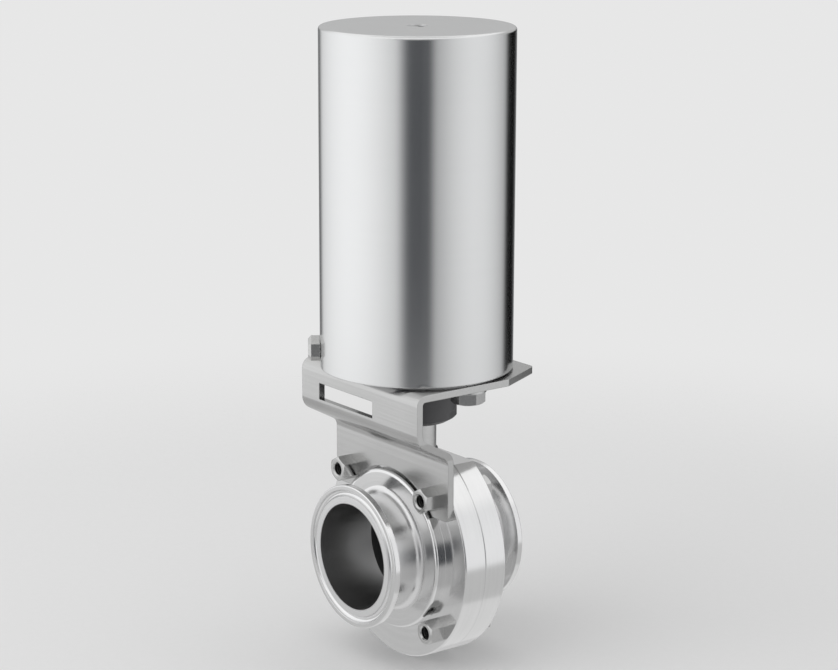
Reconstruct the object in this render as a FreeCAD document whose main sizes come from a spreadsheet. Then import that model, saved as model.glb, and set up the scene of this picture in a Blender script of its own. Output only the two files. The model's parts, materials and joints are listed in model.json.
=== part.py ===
import FreeCAD, Part
import math
import os

import Sketcher
from FreeCAD import Placement, Rotation, Vector

# Sanitary butterfly valve, 2 inch clamp ends, with an upright spring-return air actuator.
# Millimetres. Origin where the pipe axis (Y) crosses the stem axis (Z), front ferrule toward -Y.
# The valve stands closed, the piston at the bottom of its stroke.

os.makedirs("parts", exist_ok=True)
doc = FreeCAD.newDocument("butterfly_valve")
sheet = doc.addObject("Spreadsheet::Sheet", "dims")

SIZES = (
    # Body halves
    ("pipe_bore_radius", 23.75, "bore of the pipe ends"),
    ("pipe_wall", 1.65, "wall of the pipe ends"),
    ("neck_fillet", 3.0, "fillet between pipe end and hub"),
    ("lip_radius", 32.0, "clamp ferrule"),
    ("lip_thickness", 2.8, "straight rim of the ferrule"),
    ("lip_slope", 0.364, "rise of the ferrule's back cone, tangent of 20 degrees"),
    ("face_distance", 35.6, "stem axis to ferrule face"),
    ("gasket_groove_radius", 28.4, "centre circle of the gasket groove"),
    ("gasket_groove_depth", 1.5, "half-round gasket groove"),
    ("flange_radius", 50.0, "round flange of each body half"),
    ("flange_half", 11.1, "thickness of each body half's flange"),
    ("flat_drop", 7.8, "flat on top of the flange, below its round rim"),
    ("hub_inset", 7.0, "rim of the raised hub inside the bolt circle"),
    ("hub_height", 5.2, "hub over the flange"),
    ("hub_edge_radius", 1.5, "rounded rim of the hub"),
    ("edge_break", 0.5, "chamfer on turned edges"),
    # Body bolts and nuts
    ("bolt_inset", 7.0, "bolt circle inside the flange's rim"),
    ("bolt_radius", 3.0, "body bolt shank"),
    ("bolt_core_radius", 2.5, "body bolt where it is threaded into the nut"),
    ("bolt_hole_gap", 0.3, "gap round a body bolt in its hole"),
    ("bolt_grip", 3.5, "bolt end inside its nut"),
    ("bolt_head_flats", 10.0, "across flats, body bolt head"),
    ("bolt_head_height", 4.0, "body bolt head"),
    ("nut_flats", 10.0, "across flats, body nut"),
    ("nut_height", 7.5, "body nut"),
    ("nut_bore_gap", 0.1, "gap between nut bore and bolt core"),
    ("nut_mouth", 0.8, "chamfer at the mouth of a nut's bore"),
    ("nut_chamfer", 0.7, "bevel on hexagon corners"),
    # Seat, disc and stem bushes
    ("seat_bore_radius", 23.5, "rubber seat, sealing bore"),
    ("seat_shoulder", 5.5, "rubber seat, depth of the wide band"),
    ("seat_key", 4.5, "rubber seat, depth of its outer key"),
    ("seat_half", 7.4, "rubber seat, half width of the wide band"),
    ("seat_key_half", 4.0, "rubber seat, half width of its outer key"),
    ("seat_room", 0.1, "gap between seat and body halves"),
    ("disc_gap", 0.4, "closing disc inside the seat"),
    ("disc_middle", 9.0, "disc thickness at the centre"),
    ("disc_edge", 3.6, "disc thickness at the rim"),
    ("stem_radius", 6.0, "disc stem"),
    ("stem_foot_inset", 6.0, "lower stem end inside the flange's rim"),
    ("running_gap", 0.05, "radial clearance of running fits"),
    ("bush_wall", 2.0, "wall of the stem bushes"),
    ("bush_floor", 1.6, "closed end of the lower bush"),
    ("collar_over", 1.6, "collar of the upper bush, beyond the bush"),
    ("collar_height", 2.0, "collar of the upper bush"),
    ("stem_square", 8.4, "across flats, square top of the disc stem"),
    ("stem_square_length", 12.5, "square top of the disc stem"),
    ("socket_gap", 0.05, "gap on each face of a square drive"),
    ("end_gap", 0.3, "axial gap between turning and fixed faces"),
    # Coupling and position ring
    ("coupling_radius", 8.9, "sleeve of the coupling"),
    ("coupling_sleeve", 13.5, "length of the sleeve"),
    ("coupling_head_radius", 14.0, "head of the coupling"),
    ("coupling_drop", 4.2, "top of the coupling below the top plate's face"),
    ("indicator_wall", 3.9, "position ring round the coupling head"),
    ("indicator_foot", 0.6, "flat lower rim of the position ring"),
    ("indicator_bevel", 2.0, "height of the bevel under the position ring"),
    ("indicator_cut", 0.6, "flats on the position ring, inside its rim"),
    ("indicator_cut_height", 5.2, "flats on the position ring, from its lower rim"),
    ("indicator_turn", -57.5, "flats on the position ring, degrees"),
    # Bracket
    ("sheet_thickness", 3.0, "bracket sheet"),
    ("plate_bend_radius", 1.5, "inside radius of the bend under the top plate"),
    ("leg_bend_radius", 4.0, "inside radius of the two bends at the sloping leg"),
    ("plate_rise", 39.0, "upper face of the top plate above the flange's flat"),
    ("plate_inset", 0.1, "sides of top plate and strip inside the can's outline"),
    ("plate_back", 41.2, "back edge of the top plate"),
    ("plate_back_half", 31.0, "half width of the back edge"),
    ("taper_start", 17.8, "where the top plate starts to narrow"),
    ("strip_front", 32.0, "front face of the upright strip"),
    ("foot_inset", 1.4, "side edges of the foot inside those of the strip"),
    ("foot_below_bolts", 8.4, "lower edge of the foot below the body bolts"),
    ("leg_rise", 7.8, "sharp corner where the sloping leg ends, above the flange's flat"),
    ("leg_height", 9.7, "height of the sloping leg between its sharp corners"),
    ("arch_gap", 1.1, "arch of the foot round the hub"),
    ("foot_corner_radius", 2.0, "rounded lower corners of the foot"),
    ("plate_corner_radius", 3.0, "rounded back corners of the top plate"),
    ("window_left", 29.2, "window in the strip, left end"),
    ("window_right", 10.5, "window in the strip, right end"),
    ("window_rise", 5.2, "lower edge of the window above the sloping leg"),
    ("window_height", 7.5, "window in the strip"),
    # Actuator bolts
    ("plate_bolt_inset", 9.5, "circle of the two actuator bolts inside the can"),
    ("plate_bolt_turn", 5.0, "actuator bolts, degrees from X"),
    ("plate_bolt_spin", 20.5, "actuator bolts, degrees of their hexagons"),
    ("plate_bolt_radius", 4.0, "actuator bolt"),
    ("plate_bolt_core_radius", 3.3, "actuator bolt, threaded end"),
    ("plate_bolt_hole_gap", 0.5, "gap round an actuator bolt in its hole"),
    ("plate_bolt_flats", 13.0, "across flats, actuator bolt"),
    ("plate_bolt_head", 5.3, "head of the actuator bolt"),
    ("plate_bolt_engagement", 12.0, "actuator bolt inside the cover"),
    ("washer_radius", 8.0, "washer under the actuator bolt"),
    ("washer_height", 1.6, "washer under the actuator bolt"),
    # Can and air fitting
    ("can_radius", 42.5, "actuator can"),
    ("can_wall", 2.0, "wall of the can"),
    ("can_roof", 3.0, "roof of the can"),
    ("can_lift", 1.0, "can rim above the bracket"),
    ("can_height", 149.8, "top of the can above the bracket"),
    ("can_edge_radius", 1.4, "rounded top edge of the can"),
    ("vent_radius", 4.2, "vent plug in the roof"),
    ("vent_sink", 0.5, "vent plug below the roof's face"),
    ("vent_hole_radius", 0.9, "holes in the vent plug"),
    ("vent_hole_spread", 2.1, "holes in the vent plug from its centre"),
    ("port_rise", 8.6, "air port above the bracket"),
    ("port_turn", -35.0, "air port, degrees from the front"),
    ("port_thread_radius", 4.2, "threaded end of the air fitting"),
    ("port_hole_gap", 0.1, "gap round the air fitting's thread"),
    ("fitting_flats", 10.0, "across flats, air fitting"),
    ("fitting_height", 5.2, "hexagon of the air fitting"),
    ("fitting_bevel", 1.3, "bevel round the outer face of the air fitting"),
    ("fitting_bore_radius", 1.5, "air way"),
    ("fitting_socket_radius", 2.1, "tapped mouth of the air fitting"),
    ("fitting_socket_depth", 3.2, "tapped mouth of the air fitting"),
    ("port_depth", 11.0, "air port's drilling from the can's outside"),
    ("airway_radius", 2.0, "drilling from the port to the chamber"),
    # Bottom cover and its seals
    ("cover_gap", 0.3, "cover inside the can"),
    ("cover_height", 21.8, "upper face of the bottom cover above the bracket"),
    ("spigot_radius", 17.0, "centring spigot of the cover"),
    ("spigot_length", 2.5, "centring spigot of the cover"),
    ("spigot_room", 0.3, "gap round the spigot"),
    ("ring_wire", 1.0, "radius of the retaining wire"),
    ("ring_rise", 2.8, "retaining wire above the bracket"),
    ("ring_opening", 34.0, "gap of the retaining wire, degrees"),
    ("cover_seal_drop", 4.0, "cover seal below the cover's upper face"),
    ("cover_seal_wire", 1.45, "section radius of the cover seal"),
    ("shaft_seal_wire", 1.45, "section radius of the shaft seal"),
    ("shaft_seal_drop", 4.5, "shaft seal below the floor of the cover's well"),
    ("well_depth", 5.0, "recess in the cover for washer and sleeve"),
    # Output shaft
    ("journal_radius", 10.0, "output shaft in its bush"),
    ("shaft_bush_wall", 2.0, "wall of the shaft bush"),
    ("shaft_bush_length", 11.4, "shaft bush"),
    ("thrust_height", 1.5, "thrust washer"),
    ("thrust_gap", 0.1, "axial play of the output shaft"),
    ("shaft_collar_gap", 1.0, "collar of the output shaft inside the guide sleeve"),
    ("shaft_collar_height", 6.4, "collar of the output shaft"),
    ("drive_square", 12.0, "across flats, lower end of the output shaft"),
    ("drive_square_length", 15.0, "lower end of the output shaft"),
    ("clip_height", 1.0, "retaining clip of the output shaft"),
    ("clip_over", 2.5, "retaining clip beyond the journal"),
    ("clip_groove_depth", 1.0, "groove of the retaining clip"),
    ("tube_radius", 12.0, "slotted tube of the output shaft"),
    ("tube_wall", 5.0, "wall of the slotted tube"),
    ("tube_over", 12.0, "slotted tube above the pin's highest place"),
    # Pin, rollers, carrier and guide sleeve
    ("stroke", 40.0, "piston travel for a quarter turn"),
    ("pin_rise", 17.0, "cross pin above the cover, valve closed"),
    ("pin_radius", 3.0, "cross pin"),
    ("pin_over", 0.5, "ends of the cross pin beyond the guide sleeve"),
    ("roller_radius", 4.0, "inner rollers, in the helical slots"),
    ("roller_length", 4.1, "inner rollers"),
    ("outer_roller_radius", 5.0, "outer rollers, in the upright slots"),
    ("outer_roller_length", 3.2, "outer rollers"),
    ("slot_gap", 0.3, "gap each side of a roller in its slot"),
    ("carrier_play", 0.5, "pin carrier round the slotted tube"),
    ("carrier_gap", 0.7, "pin carrier inside the guide sleeve"),
    ("carrier_skirt", 8.0, "pin carrier below the pin"),
    ("carrier_roof", 3.2, "closed end of the pin carrier"),
    ("carrier_stub_radius", 10.0, "threaded stub of the pin carrier"),
    ("carrier_lift", 0.8, "carrier's roof over the shaft end"),
    ("sleeve_bore_radius", 17.0, "guide sleeve"),
    ("sleeve_wall", 4.0, "wall of the guide sleeve"),
    ("sleeve_over", 2.4, "guide sleeve above its slots"),
    # Piston and spring
    ("piston_gap", 0.3, "piston inside the can"),
    ("crown_rise", 7.0, "piston's lower face above the pin"),
    ("crown_height", 16.0, "piston's crown"),
    ("dome_gap", 0.6, "dome round the guide sleeve"),
    ("dome_wall", 4.4, "wall of the dome"),
    ("dome_roof", 5.0, "dome's roof"),
    ("piston_seal_wire", 1.65, "section radius of the piston seal"),
    ("piston_seal_place", 6.0, "piston seal above the crown's lower face"),
    ("band_depth", 2.0, "guide band of the piston"),
    ("band_place", 10.0, "guide band above the crown's lower face"),
    ("band_height", 4.4, "guide band of the piston"),
    ("seat_ring_gap", 3.5, "spring seat inside the can"),
    ("seat_ring_height", 2.0, "spring seat under the roof"),
    ("seat_ring_lip", 4.0, "spring seat's centring lip"),
    ("seat_ring_play", 1.1, "spring seat's lip inside the spring"),
    ("spring_wire", 2.5, "section radius of the spring"),
    ("spring_gap", 6.0, "spring inside the can"),
    ("spring_turns", 5.5, "turns of the spring"),
    ("spring_rest", 0.1, "gap between the spring's ends and their seats"),
)

PLACES = (
    ("neck_radius", "pipe_bore_radius + pipe_wall", "outside of the pipe ends"),
    ("flange_top", "flange_radius - flat_drop", "flat on top of the flange"),
    ("bolt_circle", "flange_radius - bolt_inset", "circle of the body bolts"),
    ("bolt_offset", "bolt_circle * sqrt(0.5)", "body bolts from the pipe axis, across and up"),
    ("bolt_hole_radius", "bolt_radius + bolt_hole_gap", "hole for a body bolt"),
    ("hub_radius", "bolt_circle - hub_inset", "raised hub on the flange"),
    ("seat_shoulder_radius", "seat_bore_radius + seat_shoulder", "where the seat's wide band ends"),
    ("seat_outer_radius", "seat_shoulder_radius + seat_key", "outside of the seat"),
    ("disc_radius", "seat_bore_radius - disc_gap", "closing disc"),
    ("stem_foot", "flange_radius - stem_foot_inset", "lower stem end below the pipe axis"),
    ("bush_radius", "stem_radius + bush_wall", "outside of the stem bushes"),
    ("collar_radius", "bush_radius + collar_over", "collar of the upper bush"),
    ("plate_top", "flange_top + plate_rise", "upper face of the bracket's top plate"),
    ("bracket_half", "can_radius - plate_inset", "half width of top plate and strip"),
    ("leg_bottom", "flange_top + leg_rise", "sharp corner where the sloping leg ends"),
    ("leg_top", "leg_bottom + leg_height", "sharp corner where the sloping leg starts"),
    ("foot_half", "bracket_half - foot_inset", "half width of the foot on the flange"),
    ("foot_bottom", "bolt_offset - foot_below_bolts", "lower edge of the foot"),
    ("window_bottom", "leg_top + window_rise", "lower edge of the window"),
    ("plate_bolt_circle", "can_radius - plate_bolt_inset", "circle of the actuator bolts"),
    ("coupling_top", "plate_top - coupling_drop", "top of the coupling"),
    ("indicator_radius", "coupling_head_radius + indicator_wall", "outside of the position ring"),
    ("can_bore", "can_radius - can_wall", "inside of the can"),
    ("can_top", "plate_top + can_height", "top of the can"),
    ("port_height", "plate_top + port_rise", "air port"),
    ("ring_height", "plate_top + ring_rise", "retaining wire"),
    ("cover_top", "plate_top + cover_height", "upper face of the bottom cover"),
    ("cover_seal_height", "cover_top - cover_seal_drop", "cover seal"),
    ("well_floor", "cover_top - well_depth", "floor of the cover's well"),
    ("shaft_seal_height", "well_floor - shaft_seal_drop", "shaft seal"),
    ("shaft_bush_radius", "journal_radius + shaft_bush_wall", "outside of the shaft bush"),
    ("clip_radius", "journal_radius + clip_over", "retaining clip of the output shaft"),
    ("tube_bore_radius", "tube_radius - tube_wall", "bore of the slotted tube"),
    ("pin_height", "cover_top + pin_rise", "cross pin, valve closed"),
    ("tube_top", "pin_height + stroke + tube_over", "upper end of the slotted tube"),
    ("sleeve_radius", "sleeve_bore_radius + sleeve_wall", "outside of the guide sleeve"),
    ("pin_half", "sleeve_radius + pin_over", "half length of the cross pin"),
    ("carrier_radius", "sleeve_bore_radius - carrier_gap", "outside of the pin carrier"),
    ("carrier_bore_radius", "tube_radius + carrier_play", "bore of the pin carrier"),
    ("shaft_collar_radius", "sleeve_bore_radius - shaft_collar_gap", "collar of the output shaft"),
    ("crown_bottom", "pin_height + crown_rise", "piston's lower face, valve closed"),
    ("dome_bore_radius", "sleeve_radius + dome_gap", "bore of the dome"),
    ("dome_radius", "dome_bore_radius + dome_wall", "outside of the dome"),
    ("spring_radius", "can_bore - spring_gap - spring_wire", "mean radius of the spring"),
    ("seat_ring_radius", "can_bore - seat_ring_gap", "outside of the spring seat"),
    ("lip_outside", "spring_radius - spring_wire - seat_ring_play", "outside of the seat's lip"),
)


class Size:
    """A number together with the sheet formula that gives it."""

    def __init__(self, number, text):
        self.number = number
        self.text = text

    def _join(self, other, sign, number):
        right = other.text if isinstance(other, Size) else repr(float(other))
        return Size(number, f"({self.text} {sign} {right})")

    def __add__(self, other):
        return self._join(other, "+", self.number + plain(other))

    def __sub__(self, other):
        return self._join(other, "-", self.number - plain(other))

    def __mul__(self, other):
        return self._join(other, "*", self.number * plain(other))

    def __truediv__(self, other):
        return self._join(other, "/", self.number / plain(other))

    def __rmul__(self, factor):
        return Size(factor * self.number, f"({float(factor)!r} * {self.text})")

    def __neg__(self):
        return Size(-self.number, f"(-1 * {self.text})")


class Sizes:
    """The sheet's cells by name."""

    def __getattr__(self, name):
        return Size(float(sheet.get(name)), f"dims.{name}")


def plain(size):
    return size.number if isinstance(size, Size) else float(size)


def hypotenuse(run, rise):
    return Size(math.hypot(run.number, rise.number), f"sqrt(({run.text})^2 + ({rise.text})^2)")


def fill_sheet():
    for row, (name, value, meaning) in enumerate(SIZES + PLACES, 1):
        sheet.set(f"A{row}", meaning)
        sheet.set(f"B{row}", f"={value}")
        sheet.setAlias(f"B{row}", name)
    doc.recompute()


def bind(item, path, size):
    item.setExpression(path, size.text)


# Sketches

def sketch_on(body, role, offset=None):
    plane = next(feature for feature in body.Origin.OriginFeatures if feature.Role == role)
    sketch = body.newObject("Sketcher::SketchObject", f"{body.Name}_sketch")
    sketch.AttachmentSupport = [(plane, "")]
    sketch.MapMode = "FlatFace"
    if offset is not None:
        bind(sketch, "AttachmentOffset.Base.z", offset)
    return sketch


def measure(sketch, kind, size, *where):
    index = sketch.addConstraint(Sketcher.Constraint(kind, *where, size.number))
    bind(sketch, f"Constraints[{index}]", size)


def fix_point(sketch, geometry, end, across, up):
    for kind, axis, place in (("DistanceX", -2, across), ("DistanceY", -1, up)):
        if isinstance(place, Size):
            measure(sketch, kind, place, geometry, end)
        else:
            sketch.addConstraint(Sketcher.Constraint("PointOnObject", geometry, end, axis))


def draw_outline(sketch, points):
    first = sketch.GeometryCount
    ends = points[1:] + points[:1]
    for start, end in zip(points, ends):
        corners = [Vector(plain(across), plain(up), 0) for across, up in (start, end)]
        sketch.addGeometry(Part.LineSegment(*corners), False)
    for index, (across, up) in enumerate(points):
        before = first + (index - 1) % len(points)
        sketch.addConstraint(Sketcher.Constraint("Coincident", before, 2, first + index, 1))
        fix_point(sketch, first + index, 1, across, up)


def draw_box(sketch, left, right, low, high):
    draw_outline(sketch, [(left, low), (right, low), (right, high), (left, high)])


def draw_circle(sketch, across, up, radius):
    centre = Vector(plain(across), plain(up), 0)
    circle = sketch.addGeometry(Part.Circle(centre, Vector(0, 0, 1), radius.number), False)
    measure(sketch, "Radius", radius, circle)
    fix_point(sketch, circle, 3, across, up)


def draw_upright_slot(sketch, low, high, radius):
    """An upright slot on the vertical axis, between the centres of its two round ends."""
    left = Part.LineSegment(Vector(-radius.number, high.number, 0), Vector(-radius.number, low.number, 0))
    right = Part.LineSegment(Vector(radius.number, low.number, 0), Vector(radius.number, high.number, 0))
    down = Part.Circle(Vector(0, low.number, 0), Vector(0, 0, 1), radius.number)
    over = Part.Circle(Vector(0, high.number, 0), Vector(0, 0, 1), radius.number)
    bottom = Part.ArcOfCircle(down, math.pi, 2 * math.pi)
    top = Part.ArcOfCircle(over, 0, math.pi)
    names = [sketch.addGeometry(item, False) for item in (left, bottom, right, top)]
    for index, name in enumerate(names):
        following = names[(index + 1) % 4]
        sketch.addConstraint(Sketcher.Constraint("Tangent", name, 2, following, 1))
    fix_point(sketch, names[1], 3, 0, low)
    fix_point(sketch, names[3], 3, 0, high)
    measure(sketch, "Radius", radius, names[1])


def hexagon(flats, height=None):
    """Corners of a hexagon with its flats to either side, centred on the vertical axis."""
    half = flats / 2
    side = flats * (1 / math.sqrt(12))
    tip = flats * (1 / math.sqrt(3))
    corners = [(half, -side), (half, side), (0, tip), (-half, side), (-half, -side), (0, -tip)]
    return corners if height is None else [(across, height + up) for across, up in corners]


# Features

def new_body(label):
    body = doc.addObject("PartDesign::Body", label)
    body.Label = label
    return body


def volume_of(body):
    doc.recompute()
    return body.Shape.Volume


def spin(body, role, points, axis):
    """A turned piece: an outline turned about the sketch's own axis."""
    sketch = sketch_on(body, role)
    draw_outline(sketch, points)
    turned = body.newObject("PartDesign::Revolution", f"{body.Name}_turned")
    turned.Profile = sketch
    turned.ReferenceAxis = (sketch, [axis])
    turned.Angle = 360
    doc.recompute()
    return turned


def spin_cut(body, sketch, axis):
    before = volume_of(body)
    groove = body.newObject("PartDesign::Groove", f"{body.Name}_groove")
    groove.Profile = sketch
    groove.ReferenceAxis = (sketch, [axis])
    groove.Angle = 360
    check_cut(body, before, groove)


def pad(body, sketch, length, symmetric=False, back=False):
    raised = body.newObject("PartDesign::Pad", f"{body.Name}_pad")
    raised.Profile = sketch
    raised.SideType = "Symmetric" if symmetric else "One side"
    raised.Reversed = back
    bind(raised, "Length", length)
    doc.recompute()
    return raised


def pocket(body, sketch, length=None, symmetric=False, back=False):
    before = volume_of(body)
    cut = body.newObject("PartDesign::Pocket", f"{body.Name}_cut")
    cut.Profile = sketch
    cut.SideType = "Symmetric" if symmetric else "One side"
    cut.Reversed = back
    if length is None:
        cut.Type = "ThroughAll"
    else:
        bind(cut, "Length", length)
    check_cut(body, before, cut)
    return cut


def check_cut(body, before, feature):
    if volume_of(body) > before - 1e-3:
        raise RuntimeError(f"{feature.Name} cuts nothing")


def pattern(body, feature, axis_role, count):
    """Repeats a feature round one of the body's own axes."""
    before = volume_of(body)
    axis = next(item for item in body.Origin.OriginFeatures if item.Role == axis_role)
    round_copy = body.newObject("PartDesign::PolarPattern", f"{body.Name}_pattern")
    round_copy.Originals = [feature]
    round_copy.Axis = (axis, [""])
    round_copy.Angle = 360
    round_copy.Occurrences = count
    body.Tip = round_copy
    check_cut(body, before, round_copy)


def dress(body, kind, size, test):
    """A fillet or chamfer on the edges that pass a test."""
    doc.recompute()
    base = body.Tip
    names = [f"Edge{number}" for number, edge in enumerate(base.Shape.Edges, 1) if test(edge)]
    if not names:
        raise RuntimeError(f"{body.Name} has no edge for its {kind}")
    dressed = body.newObject(f"PartDesign::{kind}", f"{body.Name}_{kind.lower()}")
    dressed.Base = (base, names)
    bind(dressed, "Radius" if kind == "Fillet" else "Size", size)
    doc.recompute()


def ring_edge(radius, along, place):
    """A test for round edges of one radius whose centre stands at one place on an axis."""
    def test(edge):
        if not isinstance(edge.Curve, Part.Circle):
            return False
        same = abs(edge.Curve.Radius - radius.number) < 1e-3
        return same and abs(getattr(edge.Curve.Center, along) - plain(place)) < 1e-3
    return test


def straight_edge(direction, **places):
    """A test for straight edges along one axis that stand at given places, either side."""
    def test(edge):
        if not isinstance(edge.Curve, Part.Line):
            return False
        run = edge.Vertexes[-1].Point - edge.Vertexes[0].Point
        if abs(abs(getattr(run.normalize(), direction)) - 1) > 1e-6:
            return False
        middle = edge.CenterOfMass
        return all(abs(abs(getattr(middle, axis)) - abs(plain(at))) < 1e-3 for axis, at in places.items())
    return test


def bevel_hexagon(body, flats, face, along_pipe):
    """Bevels a hexagon's corners at its outer face, as a turned cut."""
    inner = flats / 2 - d.nut_chamfer / 2
    outer = flats * 0.7
    sign = math.copysign(1, face.number)
    corners = [(inner, face), (outer, face), (outer, face - sign * d.nut_chamfer * 2)]
    if along_pipe:
        corners = [(place, radius) for radius, place in corners]
    sketch = sketch_on(body, "YZ_Plane" if along_pipe else "XZ_Plane")
    draw_outline(sketch, corners)
    spin_cut(body, sketch, "H_Axis" if along_pipe else "V_Axis")


def group(label, source, places):
    """Identical pieces, each a solid of its own, in one node."""
    node = doc.addObject("Part::Feature", label)
    node.Label = label
    copies = []
    for place in places:
        copy = source.Shape.copy()
        copy.Placement = place.multiply(copy.Placement)
        copies.append(copy)
    node.Shape = Part.makeCompound(copies)
    return node


def place_at(x, y, z, axis=Vector(0, 0, 1), angle=0.0):
    return Placement(Vector(plain(x), plain(y), plain(z)), Rotation(axis, angle))


def ring_seal(label, radius, wire, height):
    seal = doc.addObject("Part::Torus", label)
    seal.Label = label
    bind(seal, "Radius1", radius)
    bind(seal, "Radius2", wire)
    bind(seal, "Placement.Base.z", height)
    return seal


def turn(body, angle):
    body.Placement = Placement(Vector(0, 0, 0), Rotation(Vector(0, 0, 1), angle.number))
    bind(body, "Placement.Rotation.Angle", angle)


# Valve body and what it holds

def make_body_half(label, side):
    """One half of the body: flange, hub, pipe end and clamp ferrule, split on the stem axis."""
    body = new_body(label)
    hub_face = d.flange_half + d.hub_height
    lip_back = d.face_distance - d.lip_thickness
    cone_foot = lip_back - (d.lip_radius - d.neck_radius) * d.lip_slope
    wide = d.seat_half + d.seat_room
    key = d.seat_key_half + d.seat_room
    shoulder = d.seat_shoulder_radius + d.seat_room
    outer = d.seat_outer_radius + d.seat_room
    profile = [
        (0, outer), (0, d.flange_radius), (side * d.flange_half, d.flange_radius),
        (side * d.flange_half, d.hub_radius), (side * hub_face, d.hub_radius),
        (side * hub_face, d.neck_radius), (side * cone_foot, d.neck_radius),
        (side * lip_back, d.lip_radius), (side * d.face_distance, d.lip_radius),
        (side * d.face_distance, d.pipe_bore_radius), (side * wide, d.pipe_bore_radius),
        (side * wide, shoulder), (side * key, shoulder), (side * key, outer),
    ]
    spin(body, "YZ_Plane", profile, "H_Axis")
    dress(body, "Fillet", d.neck_fillet, ring_edge(d.neck_radius, "y", side * hub_face))
    dress(body, "Fillet", d.hub_edge_radius, ring_edge(d.hub_radius, "y", side * hub_face))
    dress(body, "Chamfer", d.edge_break, ring_edge(d.flange_radius, "y", side * d.flange_half))
    dress(body, "Chamfer", d.edge_break / 2, ring_edge(d.flange_radius, "y", 0))
    dress(body, "Fillet", d.edge_break, ring_edge(d.lip_radius, "y", side * d.face_distance))

    gasket = sketch_on(body, "YZ_Plane")
    draw_circle(gasket, side * d.face_distance, d.gasket_groove_radius, d.gasket_groove_depth)
    spin_cut(body, gasket, "H_Axis")

    flat = sketch_on(body, "XZ_Plane")
    draw_box(flat, -d.flange_radius * 1.1, d.flange_radius * 1.1, d.flange_top, d.flange_radius * 1.1)
    pocket(body, flat, symmetric=True)

    bolt = sketch_on(body, "XZ_Plane")
    draw_circle(bolt, d.bolt_offset, d.bolt_offset, d.bolt_hole_radius)
    hole = pocket(body, bolt, symmetric=True)
    pattern(body, hole, "Y_Axis", 4)

    stem = sketch_on(body, "XZ_Plane")
    pocket_floor = -(d.stem_foot + d.end_gap + d.bush_floor)
    draw_box(stem, 0, d.bush_radius, outer, d.flange_radius)
    draw_box(stem, 0, d.bush_radius, pocket_floor, -outer)
    spin_cut(body, stem, "V_Axis")
    neck = sketch_on(body, "XZ_Plane")
    neck_way = d.stem_radius + d.slot_gap
    draw_box(neck, 0, neck_way, d.seat_bore_radius, outer + d.seat_key)
    draw_box(neck, 0, neck_way, -outer - d.seat_key, -d.seat_bore_radius)
    spin_cut(body, neck, "V_Axis")
    return body


def make_seat():
    """The rubber seat, a ring with a wide sealing band and a key between the halves."""
    body = new_body("seat_ring")
    profile = [
        (-d.seat_half, d.seat_bore_radius), (d.seat_half, d.seat_bore_radius),
        (d.seat_half, d.seat_shoulder_radius), (d.seat_key_half, d.seat_shoulder_radius),
        (d.seat_key_half, d.seat_outer_radius), (-d.seat_key_half, d.seat_outer_radius),
        (-d.seat_key_half, d.seat_shoulder_radius), (-d.seat_half, d.seat_shoulder_radius),
    ]
    spin(body, "YZ_Plane", profile, "H_Axis")
    for side in (-1, 1):
        dress(body, "Fillet", d.edge_break * 2, ring_edge(d.seat_bore_radius, "y", side * d.seat_half))
    stem = sketch_on(body, "XY_Plane")
    draw_circle(stem, 0, 0, d.stem_radius + d.running_gap)
    pocket(body, stem, symmetric=True)
    return body


def make_disc():
    """The closing disc, lens-shaped, with its two stems and the square drive on top."""
    body = new_body("disc")
    profile = [
        (-d.disc_middle / 2, 0), (-d.disc_middle / 2, d.stem_radius), (-d.disc_edge / 2, d.disc_radius),
        (d.disc_edge / 2, d.disc_radius), (d.disc_middle / 2, d.stem_radius), (d.disc_middle / 2, 0),
    ]
    spin(body, "YZ_Plane", profile, "H_Axis")
    for side in (-1, 1):
        dress(body, "Fillet", d.edge_break, ring_edge(d.disc_radius, "y", side * d.disc_edge / 2))
    lower = sketch_on(body, "XY_Plane", -d.stem_foot)
    draw_circle(lower, 0, 0, d.stem_radius)
    pad(body, lower, d.stem_foot + d.flange_top + d.collar_height)
    dress(body, "Chamfer", d.edge_break, ring_edge(d.stem_radius, "z", -d.stem_foot))
    square = sketch_on(body, "XY_Plane", d.flange_top)
    half = d.stem_square / 2
    draw_box(square, -half, half, -half, half)
    pad(body, square, d.collar_height + d.end_gap + d.stem_square_length)
    return body


def make_bushes():
    """Polymer bushes that carry the stem above and below the seat."""
    outer = d.seat_outer_radius + d.seat_room
    bore = d.stem_radius + d.running_gap
    upper = new_body("upper_stem_bush")
    profile = [
        (bore, outer), (d.bush_radius, outer), (d.bush_radius, d.flange_top),
        (d.collar_radius, d.flange_top), (d.collar_radius, d.flange_top + d.collar_height),
        (bore, d.flange_top + d.collar_height),
    ]
    spin(upper, "XZ_Plane", profile, "V_Axis")
    lower = new_body("lower_stem_bush")
    floor = -(d.stem_foot + d.end_gap)
    profile = [
        (0, floor - d.bush_floor), (d.bush_radius, floor - d.bush_floor), (d.bush_radius, -outer),
        (bore, -outer), (bore, floor), (0, floor),
    ]
    spin(lower, "XZ_Plane", profile, "V_Axis")
    return [upper, lower]


def make_body_bolt(name, clamped):
    """A hexagon bolt along the pipe axis, its head at the back, its end short of the nut's face."""
    body = new_body(name)
    head = sketch_on(body, "XZ_Plane")
    draw_outline(head, hexagon(d.bolt_head_flats))
    pad(body, head, d.bolt_head_height, back=True)
    bevel_hexagon(body, d.bolt_head_flats, d.bolt_head_height, along_pipe=True)
    shank = sketch_on(body, "XZ_Plane")
    draw_circle(shank, 0, 0, d.bolt_radius)
    pad(body, shank, clamped)
    thread = sketch_on(body, "XZ_Plane")
    draw_circle(thread, 0, 0, d.bolt_core_radius)
    pad(body, thread, clamped + d.bolt_grip)
    return body


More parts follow.
